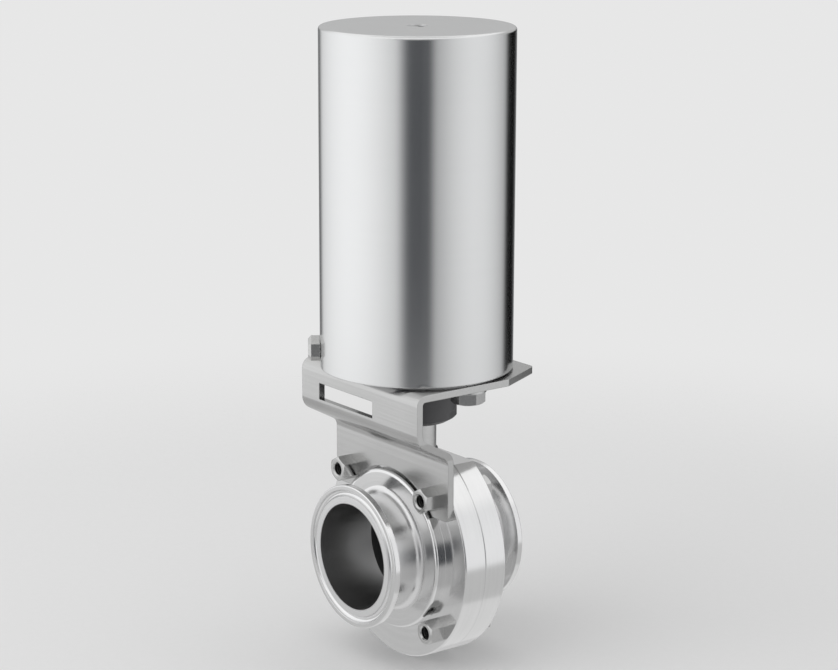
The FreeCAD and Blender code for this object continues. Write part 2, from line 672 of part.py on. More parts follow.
def make_body_fasteners():
    """Four bolts through both flanges; the upper pair also clamps the bracket's foot."""
    flanges = d.flange_half * 2
    pairs = (
        ("upper_body_bolts", d.bolt_offset, flanges + d.sheet_thickness),
        ("lower_body_bolts", -d.bolt_offset, flanges),
    )
    nodes = []
    nut_places = []
    for label, height, clamped in pairs:
        bolt = make_body_bolt(f"{label}_model", clamped)
        doc.recompute()
        places = []
        for side in (-1, 1):
            places.append(place_at(side * d.bolt_offset, d.flange_half, height))
            nut_places.append(place_at(side * d.bolt_offset, d.flange_half - clamped, height))
        nodes.append(group(label, bolt, places))
    nut = new_body("body_nut_model")
    shape = sketch_on(nut, "XZ_Plane")
    draw_outline(shape, hexagon(d.nut_flats))
    pad(nut, shape, d.nut_height)
    bevel_hexagon(nut, d.nut_flats, -d.nut_height, along_pipe=True)
    bore = sketch_on(nut, "XZ_Plane")
    bore_radius = d.bolt_core_radius + d.nut_bore_gap
    draw_circle(bore, 0, 0, bore_radius)
    pocket(nut, bore, symmetric=True)
    dress(nut, "Chamfer", d.nut_mouth, ring_edge(bore_radius, "y", -d.nut_height))
    doc.recompute()
    nodes.append(group("body_nuts", nut, nut_places))
    return nodes


# Bracket and what holds it

def make_bracket():
    """The bent sheet: top plate, upright strip with its window, sloping leg and foot."""
    body = new_body("bracket")
    gauge = d.sheet_thickness
    foot_front = d.flange_half + gauge
    run = d.strip_front - foot_front
    drop = d.leg_top - d.leg_bottom
    behind_leg = gauge * hypotenuse(run, drop) / run - gauge * drop / run
    side_view = [
        (d.plate_back, d.plate_top), (-d.strip_front, d.plate_top), (-d.strip_front, d.leg_top),
        (-foot_front, d.leg_bottom), (-foot_front, d.foot_bottom), (-d.flange_half, d.foot_bottom),
        (-d.flange_half, d.leg_bottom + behind_leg), (-d.strip_front + gauge, d.leg_top + behind_leg),
        (-d.strip_front + gauge, d.plate_top - gauge), (d.plate_back, d.plate_top - gauge),
    ]
    section = sketch_on(body, "YZ_Plane")
    draw_outline(section, side_view)
    pad(body, section, d.bracket_half * 2, symmetric=True)
    bends = (
        ((side_view[1],), d.plate_bend_radius + gauge),
        ((side_view[8],), d.plate_bend_radius),
        ((side_view[2], side_view[6]), d.leg_bend_radius + gauge),
        ((side_view[7], side_view[3]), d.leg_bend_radius),
    )
    for corners, radius in bends:
        tests = [straight_edge("x", y=y, z=z) for y, z in corners]
        dress(body, "Fillet", radius, lambda edge, tests=tests: any(test(edge) for test in tests))

    sides = sketch_on(body, "XZ_Plane")
    below = d.foot_bottom - gauge
    beyond = d.bracket_half + gauge
    for side in (-1, 1):
        draw_outline(sides, [
            (side * d.bracket_half, d.leg_top), (side * d.foot_half, d.leg_bottom),
            (side * d.foot_half, below), (side * beyond, below), (side * beyond, d.leg_top),
        ])
    pocket(body, sides, symmetric=True)

    arch = sketch_on(body, "XZ_Plane")
    draw_circle(arch, 0, 0, d.hub_radius + d.arch_gap)
    pocket(body, arch, symmetric=True)

    front = sketch_on(body, "XZ_Plane")
    draw_box(front, -d.window_left, d.window_right, d.window_bottom, d.window_bottom + d.window_height)
    for side in (-1, 1):
        draw_circle(front, side * d.bolt_offset, d.bolt_offset, d.bolt_hole_radius)
    pocket(body, front, symmetric=True)

    tapers = sketch_on(body, "XY_Plane")
    behind = d.plate_back + gauge
    for side in (-1, 1):
        draw_outline(tapers, [
            (side * d.bracket_half, d.taper_start), (side * d.plate_back_half, d.plate_back),
            (side * d.plate_back_half, behind), (side * beyond, behind), (side * beyond, d.taper_start),
        ])
    pocket(body, tapers, symmetric=True)

    centre = sketch_on(body, "XY_Plane", d.plate_top)
    draw_circle(centre, 0, 0, d.spigot_radius + d.spigot_room)
    pocket(body, centre, gauge)
    turn_angle = math.radians(d.plate_bolt_turn.number)
    bolts = sketch_on(body, "XY_Plane", d.plate_top)
    for side in (-1, 1):
        across = side * math.cos(turn_angle) * d.plate_bolt_circle
        along = side * math.sin(turn_angle) * d.plate_bolt_circle
        draw_circle(bolts, across, along, d.plate_bolt_radius + d.plate_bolt_hole_gap)
    pocket(body, bolts, gauge)

    dress(body, "Fillet", d.foot_corner_radius, straight_edge("y", x=d.foot_half, z=d.foot_bottom))
    dress(body, "Fillet", d.plate_corner_radius, straight_edge("z", x=d.plate_back_half, y=d.plate_back))
    return body


def make_plate_bolts():
    """Two hexagon bolts up through the top plate into the actuator's cover, with washers."""
    under = d.plate_top - d.sheet_thickness
    bolt = new_body("bracket_bolt_model")
    head = sketch_on(bolt, "XY_Plane", -d.washer_height)
    draw_outline(head, hexagon(d.plate_bolt_flats))
    pad(bolt, head, d.plate_bolt_head, back=True)
    bevel_hexagon(bolt, d.plate_bolt_flats, -(d.washer_height + d.plate_bolt_head), along_pipe=False)
    shank = sketch_on(bolt, "XY_Plane", -d.washer_height)
    draw_circle(shank, 0, 0, d.plate_bolt_radius)
    pad(bolt, shank, d.washer_height + d.sheet_thickness)
    thread = sketch_on(bolt, "XY_Plane")
    draw_circle(thread, 0, 0, d.plate_bolt_core_radius)
    pad(bolt, thread, d.sheet_thickness + d.plate_bolt_engagement)
    washer = new_body("bracket_washer_model")
    profile = [
        (d.plate_bolt_radius + d.running_gap, -d.washer_height), (d.washer_radius, -d.washer_height),
        (d.washer_radius, 0), (d.plate_bolt_radius + d.running_gap, 0),
    ]
    spin(washer, "XZ_Plane", profile, "V_Axis")
    doc.recompute()
    radius = d.plate_bolt_circle.number
    places = []
    for side in (0.0, 180.0):
        angle = math.radians(d.plate_bolt_turn.number + side)
        places.append(place_at(radius * math.cos(angle), radius * math.sin(angle), under,
                               angle=side + d.plate_bolt_spin.number))
    return [group("bracket_bolts", bolt, places), group("bracket_washers", washer, places)]


# Turning pieces between valve and actuator

def make_coupling():
    """The coupling with a square socket at each end, and the position ring round its head."""
    bottom = d.flange_top + d.collar_height + d.end_gap
    step = bottom + d.coupling_sleeve
    body = new_body("coupling")
    profile = [
        (0, bottom), (d.coupling_radius, bottom), (d.coupling_radius, step),
        (d.coupling_head_radius, step), (d.coupling_head_radius, d.coupling_top), (0, d.coupling_top),
    ]
    spin(body, "XZ_Plane", profile, "V_Axis")
    dress(body, "Chamfer", d.edge_break, ring_edge(d.coupling_radius, "z", bottom))
    half = d.stem_square / 2 + d.socket_gap
    lower = sketch_on(body, "XY_Plane", bottom)
    draw_box(lower, -half, half, -half, half)
    pocket(body, lower, d.stem_square_length + d.end_gap, back=True)
    half = d.drive_square / 2 + d.socket_gap
    upper = sketch_on(body, "XY_Plane", d.coupling_top)
    draw_box(upper, -half, half, -half, half)
    pocket(body, upper, d.drive_square_length + d.end_gap)

    ring = new_body("position_ring")
    low = step - d.end_gap
    profile = [
        (d.coupling_head_radius, low), (d.coupling_head_radius + d.indicator_foot, low),
        (d.indicator_radius, low + d.indicator_bevel), (d.indicator_radius, d.coupling_top),
        (d.coupling_head_radius, d.coupling_top),
    ]
    spin(ring, "XZ_Plane", profile, "V_Axis")
    flats = sketch_on(ring, "XY_Plane", low)
    outside = d.indicator_radius * 1.2
    for side in (-1, 1):
        draw_box(flats, -outside, outside, side * (d.indicator_radius - d.indicator_cut), side * outside)
    pocket(ring, flats, d.indicator_cut_height, back=True)
    turn(ring, d.indicator_turn)
    return [body, ring]


def helical_slot(angle):
    """The space a roller sweeps in the shaft's wall while the piston rises by its stroke."""
    radius = d.roller_radius.number + d.slot_gap.number
    inside = d.tube_bore_radius.number - radius / 2
    outside = d.tube_radius.number + 1.0
    middle = (inside + outside) / 2
    rise = d.stroke.number
    path = Part.makeHelix(rise * 4, rise, middle, 0, True)
    tilt = math.degrees(math.atan2(middle, rise * 4 / (2 * math.pi)))
    section = Part.makePlane(outside - inside, 2 * radius, Vector(inside, -radius, 0))
    section.rotate(Vector(0, 0, 0), Vector(1, 0, 0), tilt)
    sweep = Part.Wire(path.Edges).makePipeShell([section.OuterWire], True, True)
    start = Part.makeCylinder(radius, outside - inside, Vector(inside, 0, 0), Vector(1, 0, 0))
    finish = start.copy()
    finish.rotate(Vector(0, 0, 0), Vector(0, 0, 1), -90)
    finish.translate(Vector(0, 0, rise))
    slot = sweep.fuse([start, finish])
    slot.translate(Vector(0, 0, d.pin_height.number))
    slot.rotate(Vector(0, 0, 0), Vector(0, 0, 1), angle)
    return slot


def make_output_shaft():
    """The output shaft: square end, journal, collar and a tube with two helical slots."""
    collar_bottom = d.well_floor + d.thrust_height + d.thrust_gap
    collar_top = collar_bottom + d.shaft_collar_height
    clip_bottom = d.coupling_top + d.end_gap
    clip_top = clip_bottom + d.clip_height + d.running_gap * 2
    groove_radius = d.journal_radius - d.clip_groove_depth
    blank = new_body("output_shaft_blank")
    profile = [
        (0, d.coupling_top), (d.journal_radius, d.coupling_top), (d.journal_radius, clip_bottom),
        (groove_radius, clip_bottom), (groove_radius, clip_top),
        (d.journal_radius, clip_top), (d.journal_radius, collar_bottom),
        (d.shaft_collar_radius, collar_bottom), (d.shaft_collar_radius, collar_top),
        (d.tube_radius, collar_top), (d.tube_radius, d.tube_top), (d.tube_bore_radius, d.tube_top),
        (d.tube_bore_radius, collar_top), (0, collar_top),
    ]
    spin(blank, "XZ_Plane", profile, "V_Axis")
    half = d.drive_square / 2
    square = sketch_on(blank, "XY_Plane", d.coupling_top)
    draw_box(square, -half, half, -half, half)
    pad(blank, square, d.drive_square_length, back=True)
    doc.recompute()
    shaft = doc.addObject("Part::Feature", "output_shaft")
    shaft.Label = "output_shaft"
    shaft.Shape = blank.Shape.cut([helical_slot(0), helical_slot(180)])
    clip = new_body("shaft_clip")
    low = clip_bottom + d.running_gap
    profile = [
        (groove_radius + d.running_gap, low), (d.clip_radius, low), (d.clip_radius, low + d.clip_height),
        (groove_radius + d.running_gap, low + d.clip_height),
    ]
    spin(clip, "XZ_Plane", profile, "V_Axis")
    opening = sketch_on(clip, "XY_Plane", low)
    draw_box(opening, -d.clip_radius / 4, d.clip_radius / 4, -d.clip_radius, 0)
    pocket(clip, opening, d.clip_height, back=True)
    return [shaft, clip]


# Actuator housing

def make_can():
    """The can: one tube with a closed roof, a vent hole, an air port hole and a wire groove."""
    body = new_body("actuator_can")
    rim = d.plate_top + d.can_lift
    ceiling = d.can_top - d.can_roof
    wire_low = d.ring_height - d.ring_wire - d.running_gap
    wire_high = d.ring_height + d.ring_wire + d.running_gap
    wire_depth = d.can_bore + d.ring_wire + d.running_gap
    vent = d.vent_radius + d.running_gap
    profile = [
        (d.can_bore, rim), (d.can_radius, rim), (d.can_radius, d.can_top), (vent, d.can_top),
        (vent, ceiling), (d.can_bore, ceiling), (d.can_bore, wire_high),
        (wire_depth, wire_high), (wire_depth, wire_low), (d.can_bore, wire_low),
    ]
    spin(body, "XZ_Plane", profile, "V_Axis")
    dress(body, "Fillet", d.can_edge_radius, ring_edge(d.can_radius, "z", d.can_top))
    port = sketch_on(body, "XZ_Plane")
    draw_circle(port, 0, d.port_height, d.port_thread_radius + d.port_hole_gap * 3)
    pocket(body, port, back=True)
    turn(body, d.port_turn)
    return body


def make_vent_plug():
    body = new_body("vent_plug")
    top = d.can_top - d.vent_sink
    profile = [
        (0, d.can_top - d.can_roof), (d.vent_radius, d.can_top - d.can_roof), (d.vent_radius, top), (0, top),
    ]
    spin(body, "XZ_Plane", profile, "V_Axis")
    holes = sketch_on(body, "XY_Plane", top)
    for side in (-1, 1):
        draw_circle(holes, 0, side * d.vent_hole_spread, d.vent_hole_radius)
    pocket(body, holes, d.can_roof / 2)
    turn(body, d.port_turn)
    return body


def make_cover():
    """The bottom cover: spigot, bush bore, seal grooves, well for the guide sleeve and air ways."""
    body = new_body("bottom_cover")
    outer = d.can_bore - d.cover_gap
    shoulder = d.ring_height + d.ring_wire + d.running_gap
    skirt = d.can_bore - d.ring_wire - d.cover_gap * 2
    spigot_bottom = d.plate_top - d.spigot_length
    bush_top = spigot_bottom + d.shaft_bush_length + d.end_gap
    shaft_way = d.journal_radius + d.end_gap
    seal_room = d.shaft_seal_wire + d.running_gap
    seal_depth = d.journal_radius + d.shaft_seal_wire * 2 + d.running_gap * 2
    cover_room = d.cover_seal_wire + d.slot_gap
    cover_depth = d.can_bore - d.cover_seal_wire * 2 - d.running_gap
    well_radius = d.sleeve_radius + d.running_gap
    profile = [
        (d.shaft_bush_radius, spigot_bottom), (d.spigot_radius, spigot_bottom),
        (d.spigot_radius, d.plate_top), (skirt, d.plate_top), (skirt, shoulder), (outer, shoulder),
        (outer, d.cover_seal_height - cover_room), (cover_depth, d.cover_seal_height - cover_room),
        (cover_depth, d.cover_seal_height + cover_room), (outer, d.cover_seal_height + cover_room),
        (outer, d.cover_top), (well_radius, d.cover_top), (well_radius, d.well_floor),
        (shaft_way, d.well_floor), (shaft_way, d.shaft_seal_height + seal_room),
        (seal_depth, d.shaft_seal_height + seal_room), (seal_depth, d.shaft_seal_height - seal_room),
        (shaft_way, d.shaft_seal_height - seal_room), (shaft_way, bush_top), (d.shaft_bush_radius, bush_top),
    ]
    spin(body, "XZ_Plane", profile, "V_Axis")
    port = sketch_on(body, "XZ_Plane", d.can_radius)
    draw_circle(port, 0, d.port_height, d.port_thread_radius + d.port_hole_gap)
    pocket(body, port, d.port_depth)
    airway = sketch_on(body, "XY_Plane", d.cover_top)
    draw_circle(airway, 0, -(d.can_radius - d.port_depth + d.airway_radius * 1.5), d.airway_radius)
    pocket(body, airway, d.cover_top - d.port_height)
    bolts = sketch_on(body, "XY_Plane", d.plate_top)
    angle = math.radians(d.plate_bolt_turn.number - d.port_turn.number)
    for side in (-1, 1):
        draw_circle(bolts, side * math.cos(angle) * d.plate_bolt_circle,
                    side * math.sin(angle) * d.plate_bolt_circle, d.plate_bolt_core_radius + d.running_gap)
    pocket(body, bolts, d.plate_bolt_engagement + d.end_gap, back=True)
    turn(body, d.port_turn)
    return body


def make_air_fitting():
    """A hexagon reducing fitting screwed through the can into the cover."""
    body = new_body("air_fitting")
    seat = sketch_on(body, "XZ_Plane", d.can_radius)
    draw_outline(seat, hexagon(d.fitting_flats, d.port_height))
    pad(body, seat, d.fitting_height)
    thread = sketch_on(body, "XZ_Plane", d.can_radius)
    draw_circle(thread, 0, d.port_height, d.port_thread_radius)
    pad(body, thread, d.port_depth - d.airway_radius * 3, back=True)
    bore = sketch_on(body, "XZ_Plane", d.can_radius + d.fitting_height)
    draw_circle(bore, 0, d.port_height, d.fitting_bore_radius)
    pocket(body, bore)
    mouth = sketch_on(body, "XZ_Plane", d.can_radius + d.fitting_height)
    draw_circle(mouth, 0, d.port_height, d.fitting_socket_radius)
    pocket(body, mouth, d.fitting_socket_depth)
    face = d.can_radius + d.fitting_height

    def on_rim(edge):
        return isinstance(edge.Curve, Part.Line) and abs(edge.CenterOfMass.y + face.number) < 1e-3

    dress(body, "Chamfer", d.fitting_bevel, on_rim)
    turn(body, d.port_turn)
    return body


def make_housing_rings():
    """Retaining wire, cover seal, shaft bush, shaft seal and thrust washer."""
    wire = ring_seal("retaining_wire", d.can_bore, d.ring_wire, d.ring_height)
    bind(wire, "Angle3", -d.ring_opening + 360)
    wire.Placement = place_at(0, 0, d.ring_height, angle=d.port_turn.number - 90 + d.ring_opening.number / 2)
    seal_radius = d.can_bore - d.cover_seal_wire
    cover_seal = ring_seal("cover_seal", seal_radius, d.cover_seal_wire, d.cover_seal_height)
    seal_radius = d.journal_radius + d.running_gap + d.shaft_seal_wire
    shaft_seal = ring_seal("shaft_seal", seal_radius, d.shaft_seal_wire, d.shaft_seal_height)
    bush = new_body("shaft_bush")
    low = d.plate_top - d.spigot_length
    profile = [
        (d.journal_radius + d.running_gap, low), (d.shaft_bush_radius, low),
        (d.shaft_bush_radius, low + d.shaft_bush_length),
        (d.journal_radius + d.running_gap, low + d.shaft_bush_length),
    ]
    spin(bush, "XZ_Plane", profile, "V_Axis")
    washer = new_body("thrust_washer")
    inside = d.journal_radius + d.end_gap
    outside = d.sleeve_bore_radius - d.end_gap
    top = d.well_floor + d.thrust_height
    profile = [(inside, d.well_floor), (outside, d.well_floor), (outside, top), (inside, top)]
    spin(washer, "XZ_Plane", profile, "V_Axis")
    return [wire, cover_seal, shaft_seal, bush, washer]


def make_guide_sleeve():
    """The guide sleeve, whose two upright slots keep the piston from turning."""
    body = new_body("guide_sleeve")
    slot_radius = d.outer_roller_radius + d.slot_gap
    high = d.pin_height + d.stroke + slot_radius + d.sleeve_over
    profile = [
        (d.sleeve_bore_radius, d.well_floor), (d.sleeve_radius, d.well_floor), (d.sleeve_radius, high),
        (d.sleeve_bore_radius, high),
    ]
    spin(body, "XZ_Plane", profile, "V_Axis")
    slots = sketch_on(body, "YZ_Plane")
    draw_upright_slot(slots, d.pin_height, d.pin_height + d.stroke, slot_radius)
    pocket(body, slots, symmetric=True)
    return body


# Piston, its carrier, pin, rollers and spring

def make_piston():
    outer = d.can_bore - d.piston_gap
    low = d.crown_bottom
    high = low + d.crown_height
    seal = low + d.piston_seal_place
    seal_room = d.piston_seal_wire + d.slot_gap
    seal_floor = d.can_bore - d.piston_seal_wire * 2 - d.running_gap * 2
    band = low + d.band_place
    band_top = band + d.band_height
    band_floor = d.can_bore - d.band_depth - d.running_gap * 2
    roof = d.tube_top + d.carrier_lift + d.carrier_roof
    body = new_body("piston")
    profile = [
        (d.dome_bore_radius, low), (outer, low), (outer, seal - seal_room), (seal_floor, seal - seal_room),
        (seal_floor, seal + seal_room), (outer, seal + seal_room), (outer, band - d.running_gap),
        (band_floor, band - d.running_gap), (band_floor, band_top + d.running_gap),
        (outer, band_top + d.running_gap), (outer, high), (d.dome_radius, high),
        (d.dome_radius, roof + d.dome_roof), (d.carrier_stub_radius, roof + d.dome_roof),
        (d.carrier_stub_radius, roof), (d.dome_bore_radius, roof),
    ]
    spin(body, "XZ_Plane", profile, "V_Axis")
    seal_radius = d.can_bore - d.running_gap - d.piston_seal_wire
    piston_seal = ring_seal("piston_seal", seal_radius, d.piston_seal_wire, seal)
    guide_band = new_body("piston_guide_band")
    inside = d.can_bore - d.band_depth - d.running_gap
    outside = d.can_bore - d.running_gap
    profile = [(inside, band), (outside, band), (outside, band_top), (inside, band_top)]
    spin(guide_band, "XZ_Plane", profile, "V_Axis")

    carrier = new_body("pin_carrier")
    foot = d.pin_height - d.carrier_skirt
    ceiling = d.tube_top + d.carrier_lift
    profile = [
        (d.carrier_bore_radius, foot), (d.carrier_radius, foot), (d.carrier_radius, roof),
        (d.carrier_stub_radius, roof), (d.carrier_stub_radius, roof + d.dome_roof), (0, roof + d.dome_roof),
        (0, ceiling), (d.carrier_bore_radius, ceiling),
    ]
    spin(carrier, "XZ_Plane", profile, "V_Axis")
    pin_hole = sketch_on(carrier, "YZ_Plane")
    draw_circle(pin_hole, 0, d.pin_height, d.pin_radius)
    pocket(carrier, pin_hole, symmetric=True)
    return [body, piston_seal, guide_band, carrier]


def make_pin_and_rollers():
    """The cross pin, with a roller in each helical slot and one in each upright slot."""
    pin = new_body("cross_pin")
    section = sketch_on(pin, "YZ_Plane")
    draw_circle(section, 0, d.pin_height, d.pin_radius)
    pad(pin, section, d.pin_half * 2, symmetric=True)
    dress(pin, "Chamfer", d.edge_break, lambda edge: abs(abs(edge.CenterOfMass.x) - d.pin_half.number) < 1e-3)
    nodes = [pin]
    rollers = (
        ("inner_rollers", d.tube_bore_radius + d.end_gap, d.roller_radius, d.roller_length),
        ("outer_rollers", d.sleeve_bore_radius + d.end_gap, d.outer_roller_radius, d.outer_roller_length),
    )
    for label, start, radius, length in rollers:
        roller = new_body(f"{label}_model")
        ring = sketch_on(roller, "YZ_Plane", start)
        draw_circle(ring, 0, d.pin_height, radius)
        draw_circle(ring, 0, d.pin_height, d.pin_radius + d.running_gap)
        pad(roller, ring, length)
        doc.recompute()
        nodes.append(group(label, roller, [place_at(0, 0, 0), place_at(0, 0, 0, angle=180)]))
    return nodes


def make_spring():
    """The closing spring between the piston and a seat under the roof."""
    roof = d.can_top - d.can_roof
    seat = new_body("spring_seat")
    low = roof - d.seat_ring_height
    bore = d.lip_outside - d.edge_break * 2
    profile = [
        (bore, roof), (d.seat_ring_radius, roof), (d.seat_ring_radius, low), (d.lip_outside, low),
        (d.lip_outside, low - d.seat_ring_lip), (bore, low - d.seat_ring_lip),
    ]
    spin(seat, "XZ_Plane", profile, "V_Axis")
    bottom = d.crown_bottom + d.crown_height + d.spring_wire + d.spring_rest
    height = low - d.spring_wire - d.spring_rest - bottom
    path = doc.addObject("Part::Helix", "spring_path")
    bind(path, "Radius", d.spring_radius)
    bind(path, "Height", height)
    bind(path, "Pitch", height / d.spring_turns)
    bind(path, "Placement.Base.z", bottom)
    wire = doc.addObject("Part::Circle", "spring_section")
    bind(wire, "Radius", d.spring_wire)
    bind(wire, "Placement.Base.x", d.spring_radius)
    bind(wire, "Placement.Base.z", bottom)
    wire.Placement.Rotation = Rotation(Vector(1, 0, 0), 90)
    spring = doc.addObject("Part::Sweep", "closing_spring")
    spring.Label = "closing_spring"
    spring.Sections = [wire]
    spring.Spine = (path, ["Edge1"])
    spring.Solid = True
    spring.Frenet = True
    return [seat, spring]


def write_nodes(nodes):
    doc.recompute()
    for item in doc.Objects:
        if "Invalid" in item.State or "Error" in item.State:
            raise RuntimeError(f"{item.Label} failed: {item.State}")
    for node in nodes:
        shape = node.Shape
        if shape.isNull() or not shape.isValid() or not shape.Solids:
            raise RuntimeError(f"{node.Label} has no valid solid")
    for node in nodes:
        node.Shape.exportStep(f"parts/{node.Label}.step")


fill_sheet()
d = Sizes()
pieces = [make_body_half("body_front", -1), make_body_half("body_rear", 1), make_seat(), make_disc()]
pieces += make_bushes()
pieces += make_body_fasteners()
pieces += [make_bracket()]
pieces += make_plate_bolts()
pieces += make_coupling()
pieces += make_output_shaft()
pieces += [make_can(), make_vent_plug(), make_cover(), make_air_fitting()]
pieces += make_housing_rings()
pieces += [make_guide_sleeve()]
pieces += make_piston()
pieces += make_pin_and_rollers()
pieces += make_spring()
write_nodes(pieces)
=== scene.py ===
"""Looks of a clamp-end butterfly valve under its upright air actuator."""

import json
import logging
import math
from dataclasses import dataclass, field
from enum import Enum

import bmesh
import bpy
from mathutils import Matrix, Vector


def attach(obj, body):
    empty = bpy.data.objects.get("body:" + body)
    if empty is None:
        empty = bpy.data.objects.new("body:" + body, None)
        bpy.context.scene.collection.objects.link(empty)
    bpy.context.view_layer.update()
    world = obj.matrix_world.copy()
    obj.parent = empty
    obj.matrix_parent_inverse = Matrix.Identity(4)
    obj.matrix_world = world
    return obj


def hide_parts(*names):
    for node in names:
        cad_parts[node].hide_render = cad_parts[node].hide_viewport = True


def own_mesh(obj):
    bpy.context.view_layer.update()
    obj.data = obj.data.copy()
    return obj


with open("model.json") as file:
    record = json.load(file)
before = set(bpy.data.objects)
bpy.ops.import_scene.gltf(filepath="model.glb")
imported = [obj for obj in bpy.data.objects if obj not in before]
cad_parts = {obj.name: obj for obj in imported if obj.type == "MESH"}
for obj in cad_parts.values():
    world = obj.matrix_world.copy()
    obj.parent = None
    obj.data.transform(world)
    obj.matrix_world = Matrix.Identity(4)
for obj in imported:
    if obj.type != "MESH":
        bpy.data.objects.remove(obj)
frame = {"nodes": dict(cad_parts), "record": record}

LOG = logging.getLogger("valve")
Colour = tuple[float, float, float]
MM = 0.001
# Width of the photograph's frame, in pixels.
PHOTO_WIDTH = 838
# Tool marks per metre along the grain, as a share of those across it.
GRAIN_STRETCH = 0.012
# Radius at which round tool marks are as long as straight ones.
GRAIN_RADIUS = 40.0 * MM
# Share of the noise between which clouds come in.
CLOUD_EDGES = (0.3, 0.7)
BEVEL_SAMPLES = 4
# Edges sharper than these stay sharp, in degrees.
SMOOTH_ANGLE = 40.0
THREAD_SMOOTH_ANGLE = 60.0


class Grain(Enum):
    """The way the tool marks of a finish run."""

    ROUND_STEM = "rings round the stem axis"
    ROUND_PIPE = "rings round the pipe axis"
    ALONG_WIDTH = "straight lines across the bracket"
    EVEN = "no direction"


class Signal:
    """A node's output that works in Python expressions."""

    def __init__(self, graph: "Graph", socket: bpy.types.NodeSocket) -> None:
        """Wraps one output socket of a graph."""
        self.graph = graph
        self.socket = socket

    def _maths(self, operation: str, first: object, second: object | None = None) -> "Signal":
        """Adds a Math node of one or two values."""
        inputs = {0: first} if second is None else {0: first, 1: second}
        return self.graph.add("ShaderNodeMath", {"operation": operation}, inputs)

    def __add__(self, other: object) -> "Signal":
        """Sum."""
        return self._maths("ADD", self, other)

    def __radd__(self, other: object) -> "Signal":
        """Sum, reflected."""
        return self._maths("ADD", other, self)

    def __sub__(self, other: object) -> "Signal":
        """Difference."""
        return self._maths("SUBTRACT", self, other)

    def __rsub__(self, other: object) -> "Signal":
        """Difference, reflected."""
        return self._maths("SUBTRACT", other, self)

    def __mul__(self, other: object) -> "Signal":
        """Product."""
        return self._maths("MULTIPLY", self, other)

    def __rmul__(self, other: object) -> "Signal":
        """Product, reflected."""
        return self._maths("MULTIPLY", other, self)

    def root(self) -> "Signal":
        """Square root."""
        return self._maths("SQRT", self)

    def turn_from(self, other: "Signal") -> "Signal":
        """Angle whose tangent is this value over another."""
        return self._maths("ARCTAN2", self, other)

    def step(self, low: float, high: float) -> "Signal":
        """Rises smoothly from 0 to 1 between two values.

        Args:
            low: Where the rise starts.
            high: Where it ends.

        Returns:
            The smoothed step.
        """
        return self.graph.add(
            "ShaderNodeMapRange",
            {"interpolation_type": "SMOOTHSTEP"},
            {"Value": self, "From Min": low, "From Max": high},
        )


class Graph:
    """The node tree of a material, or of the world."""

    def __init__(self, tree: bpy.types.NodeTree) -> None:
        """Empties the tree that it is going to fill."""
        self.tree = tree
        self.tree.nodes.clear()

    def add(
        self, kind: str, settings: dict | None = None, inputs: dict | None = None, output: int | str = 0
    ) -> Signal | None:
        """Adds a node.

        Args:
            kind: The node's type.
            settings: Its properties, set before its inputs.
            inputs: Values or signals of its sockets, by name or number.
            output: The output that is wanted.

        Returns:
            That output, or nothing for a node that has none.
        """
        node = self.tree.nodes.new(kind)
        for name, value in (settings or {}).items():
            setattr(node, name, value)
        for name, value in (inputs or {}).items():
            if isinstance(value, Signal):
                self.tree.links.new(value.socket, node.inputs[name])
            else:
                node.inputs[name].default_value = value
        return Signal(self, node.outputs[output]) if len(node.outputs) else None

    def place(self) -> Signal:
        """The point on the piece, in metres, which moves with the piece."""
        return self.add("ShaderNodeTexCoord", output="Object")

    def split(self, vector: Signal) -> tuple[Signal, Signal, Signal]:
        """The three parts of a vector.

        Args:
            vector: The vector.

        Returns:
            Its x, y and z.
        """
        first = self.add("ShaderNodeSeparateXYZ", inputs={"Vector": vector})
        x, y, z = first.socket.node.outputs
        return Signal(self, x), Signal(self, y), Signal(self, z)

    def join(self, x: object, y: object, z: object) -> Signal:
        """A vector from three values."""
        return self.add("ShaderNodeCombineXYZ", inputs={"X": x, "Y": y, "Z": z})

    def noise(self, vector: Signal, scale: float, detail: float = 3.0, roughness: float = 0.5) -> Signal:
        """Noise between about 0.2 and 0.8.

        Args:
            vector: Where it is read.
            scale: Its frequency.
            detail: Its octaves.
            roughness: The weight of the finer octaves.

        Returns:
            The noise value.
        """
        return self.add(
            "ShaderNodeTexNoise",
            {"noise_dimensions": "3D"},
            {"Vector": vector, "Scale": scale, "Detail": detail, "Roughness": roughness},
        )

    def blend(self, mask: object, low: object, high: object) -> Signal:
        """Mixes two colours, with a mask of 0 for the first and 1 for the second."""
        colours = {"A": self._with_alpha(low), "B": self._with_alpha(high)}
        return self.add("ShaderNodeMix", {"data_type": "RGBA"}, {"Factor": mask, **colours}, output="Result")

    @staticmethod
    def _with_alpha(value: object) -> object:
        """A colour with its alpha, or the signal as it is."""
        return value if isinstance(value, Signal) else (*value, 1.0)

    def bevel(self, radius: float) -> Signal:
        """A normal that rounds the edges off, by a radius in metres."""
        return self.add("ShaderNodeBevel", {"samples": BEVEL_SAMPLES}, {"Radius": radius})

    def bump(
        self, height: Signal, distance: float, strength: float = 1.0, normal: Signal | None = None
    ) -> Signal:
        """A normal tilted by a height.

        Args:
            height: The height signal.
            distance: Metres that a height of 1 stands for.
            strength: How much of the tilt is kept.
            normal: The normal it starts from.

        Returns:
            The tilted normal.
        """
        inputs: dict = {"Height": height, "Distance": distance, "Strength": strength}
        if normal is not None:
            inputs["Normal"] = normal
        return self.add("ShaderNodeBump", inputs=inputs)

    def surface(self, **inputs: object) -> None:
        """Ends the graph in a Principled shader.

        Args:
            inputs: Its sockets, with underscores for spaces.
        """
        named = {name.replace("_", " "): value for name, value in inputs.items()}
        shader = self.add("ShaderNodeBsdfPrincipled", inputs=named)
        self.add("ShaderNodeOutputMaterial", inputs={"Surface": shader})


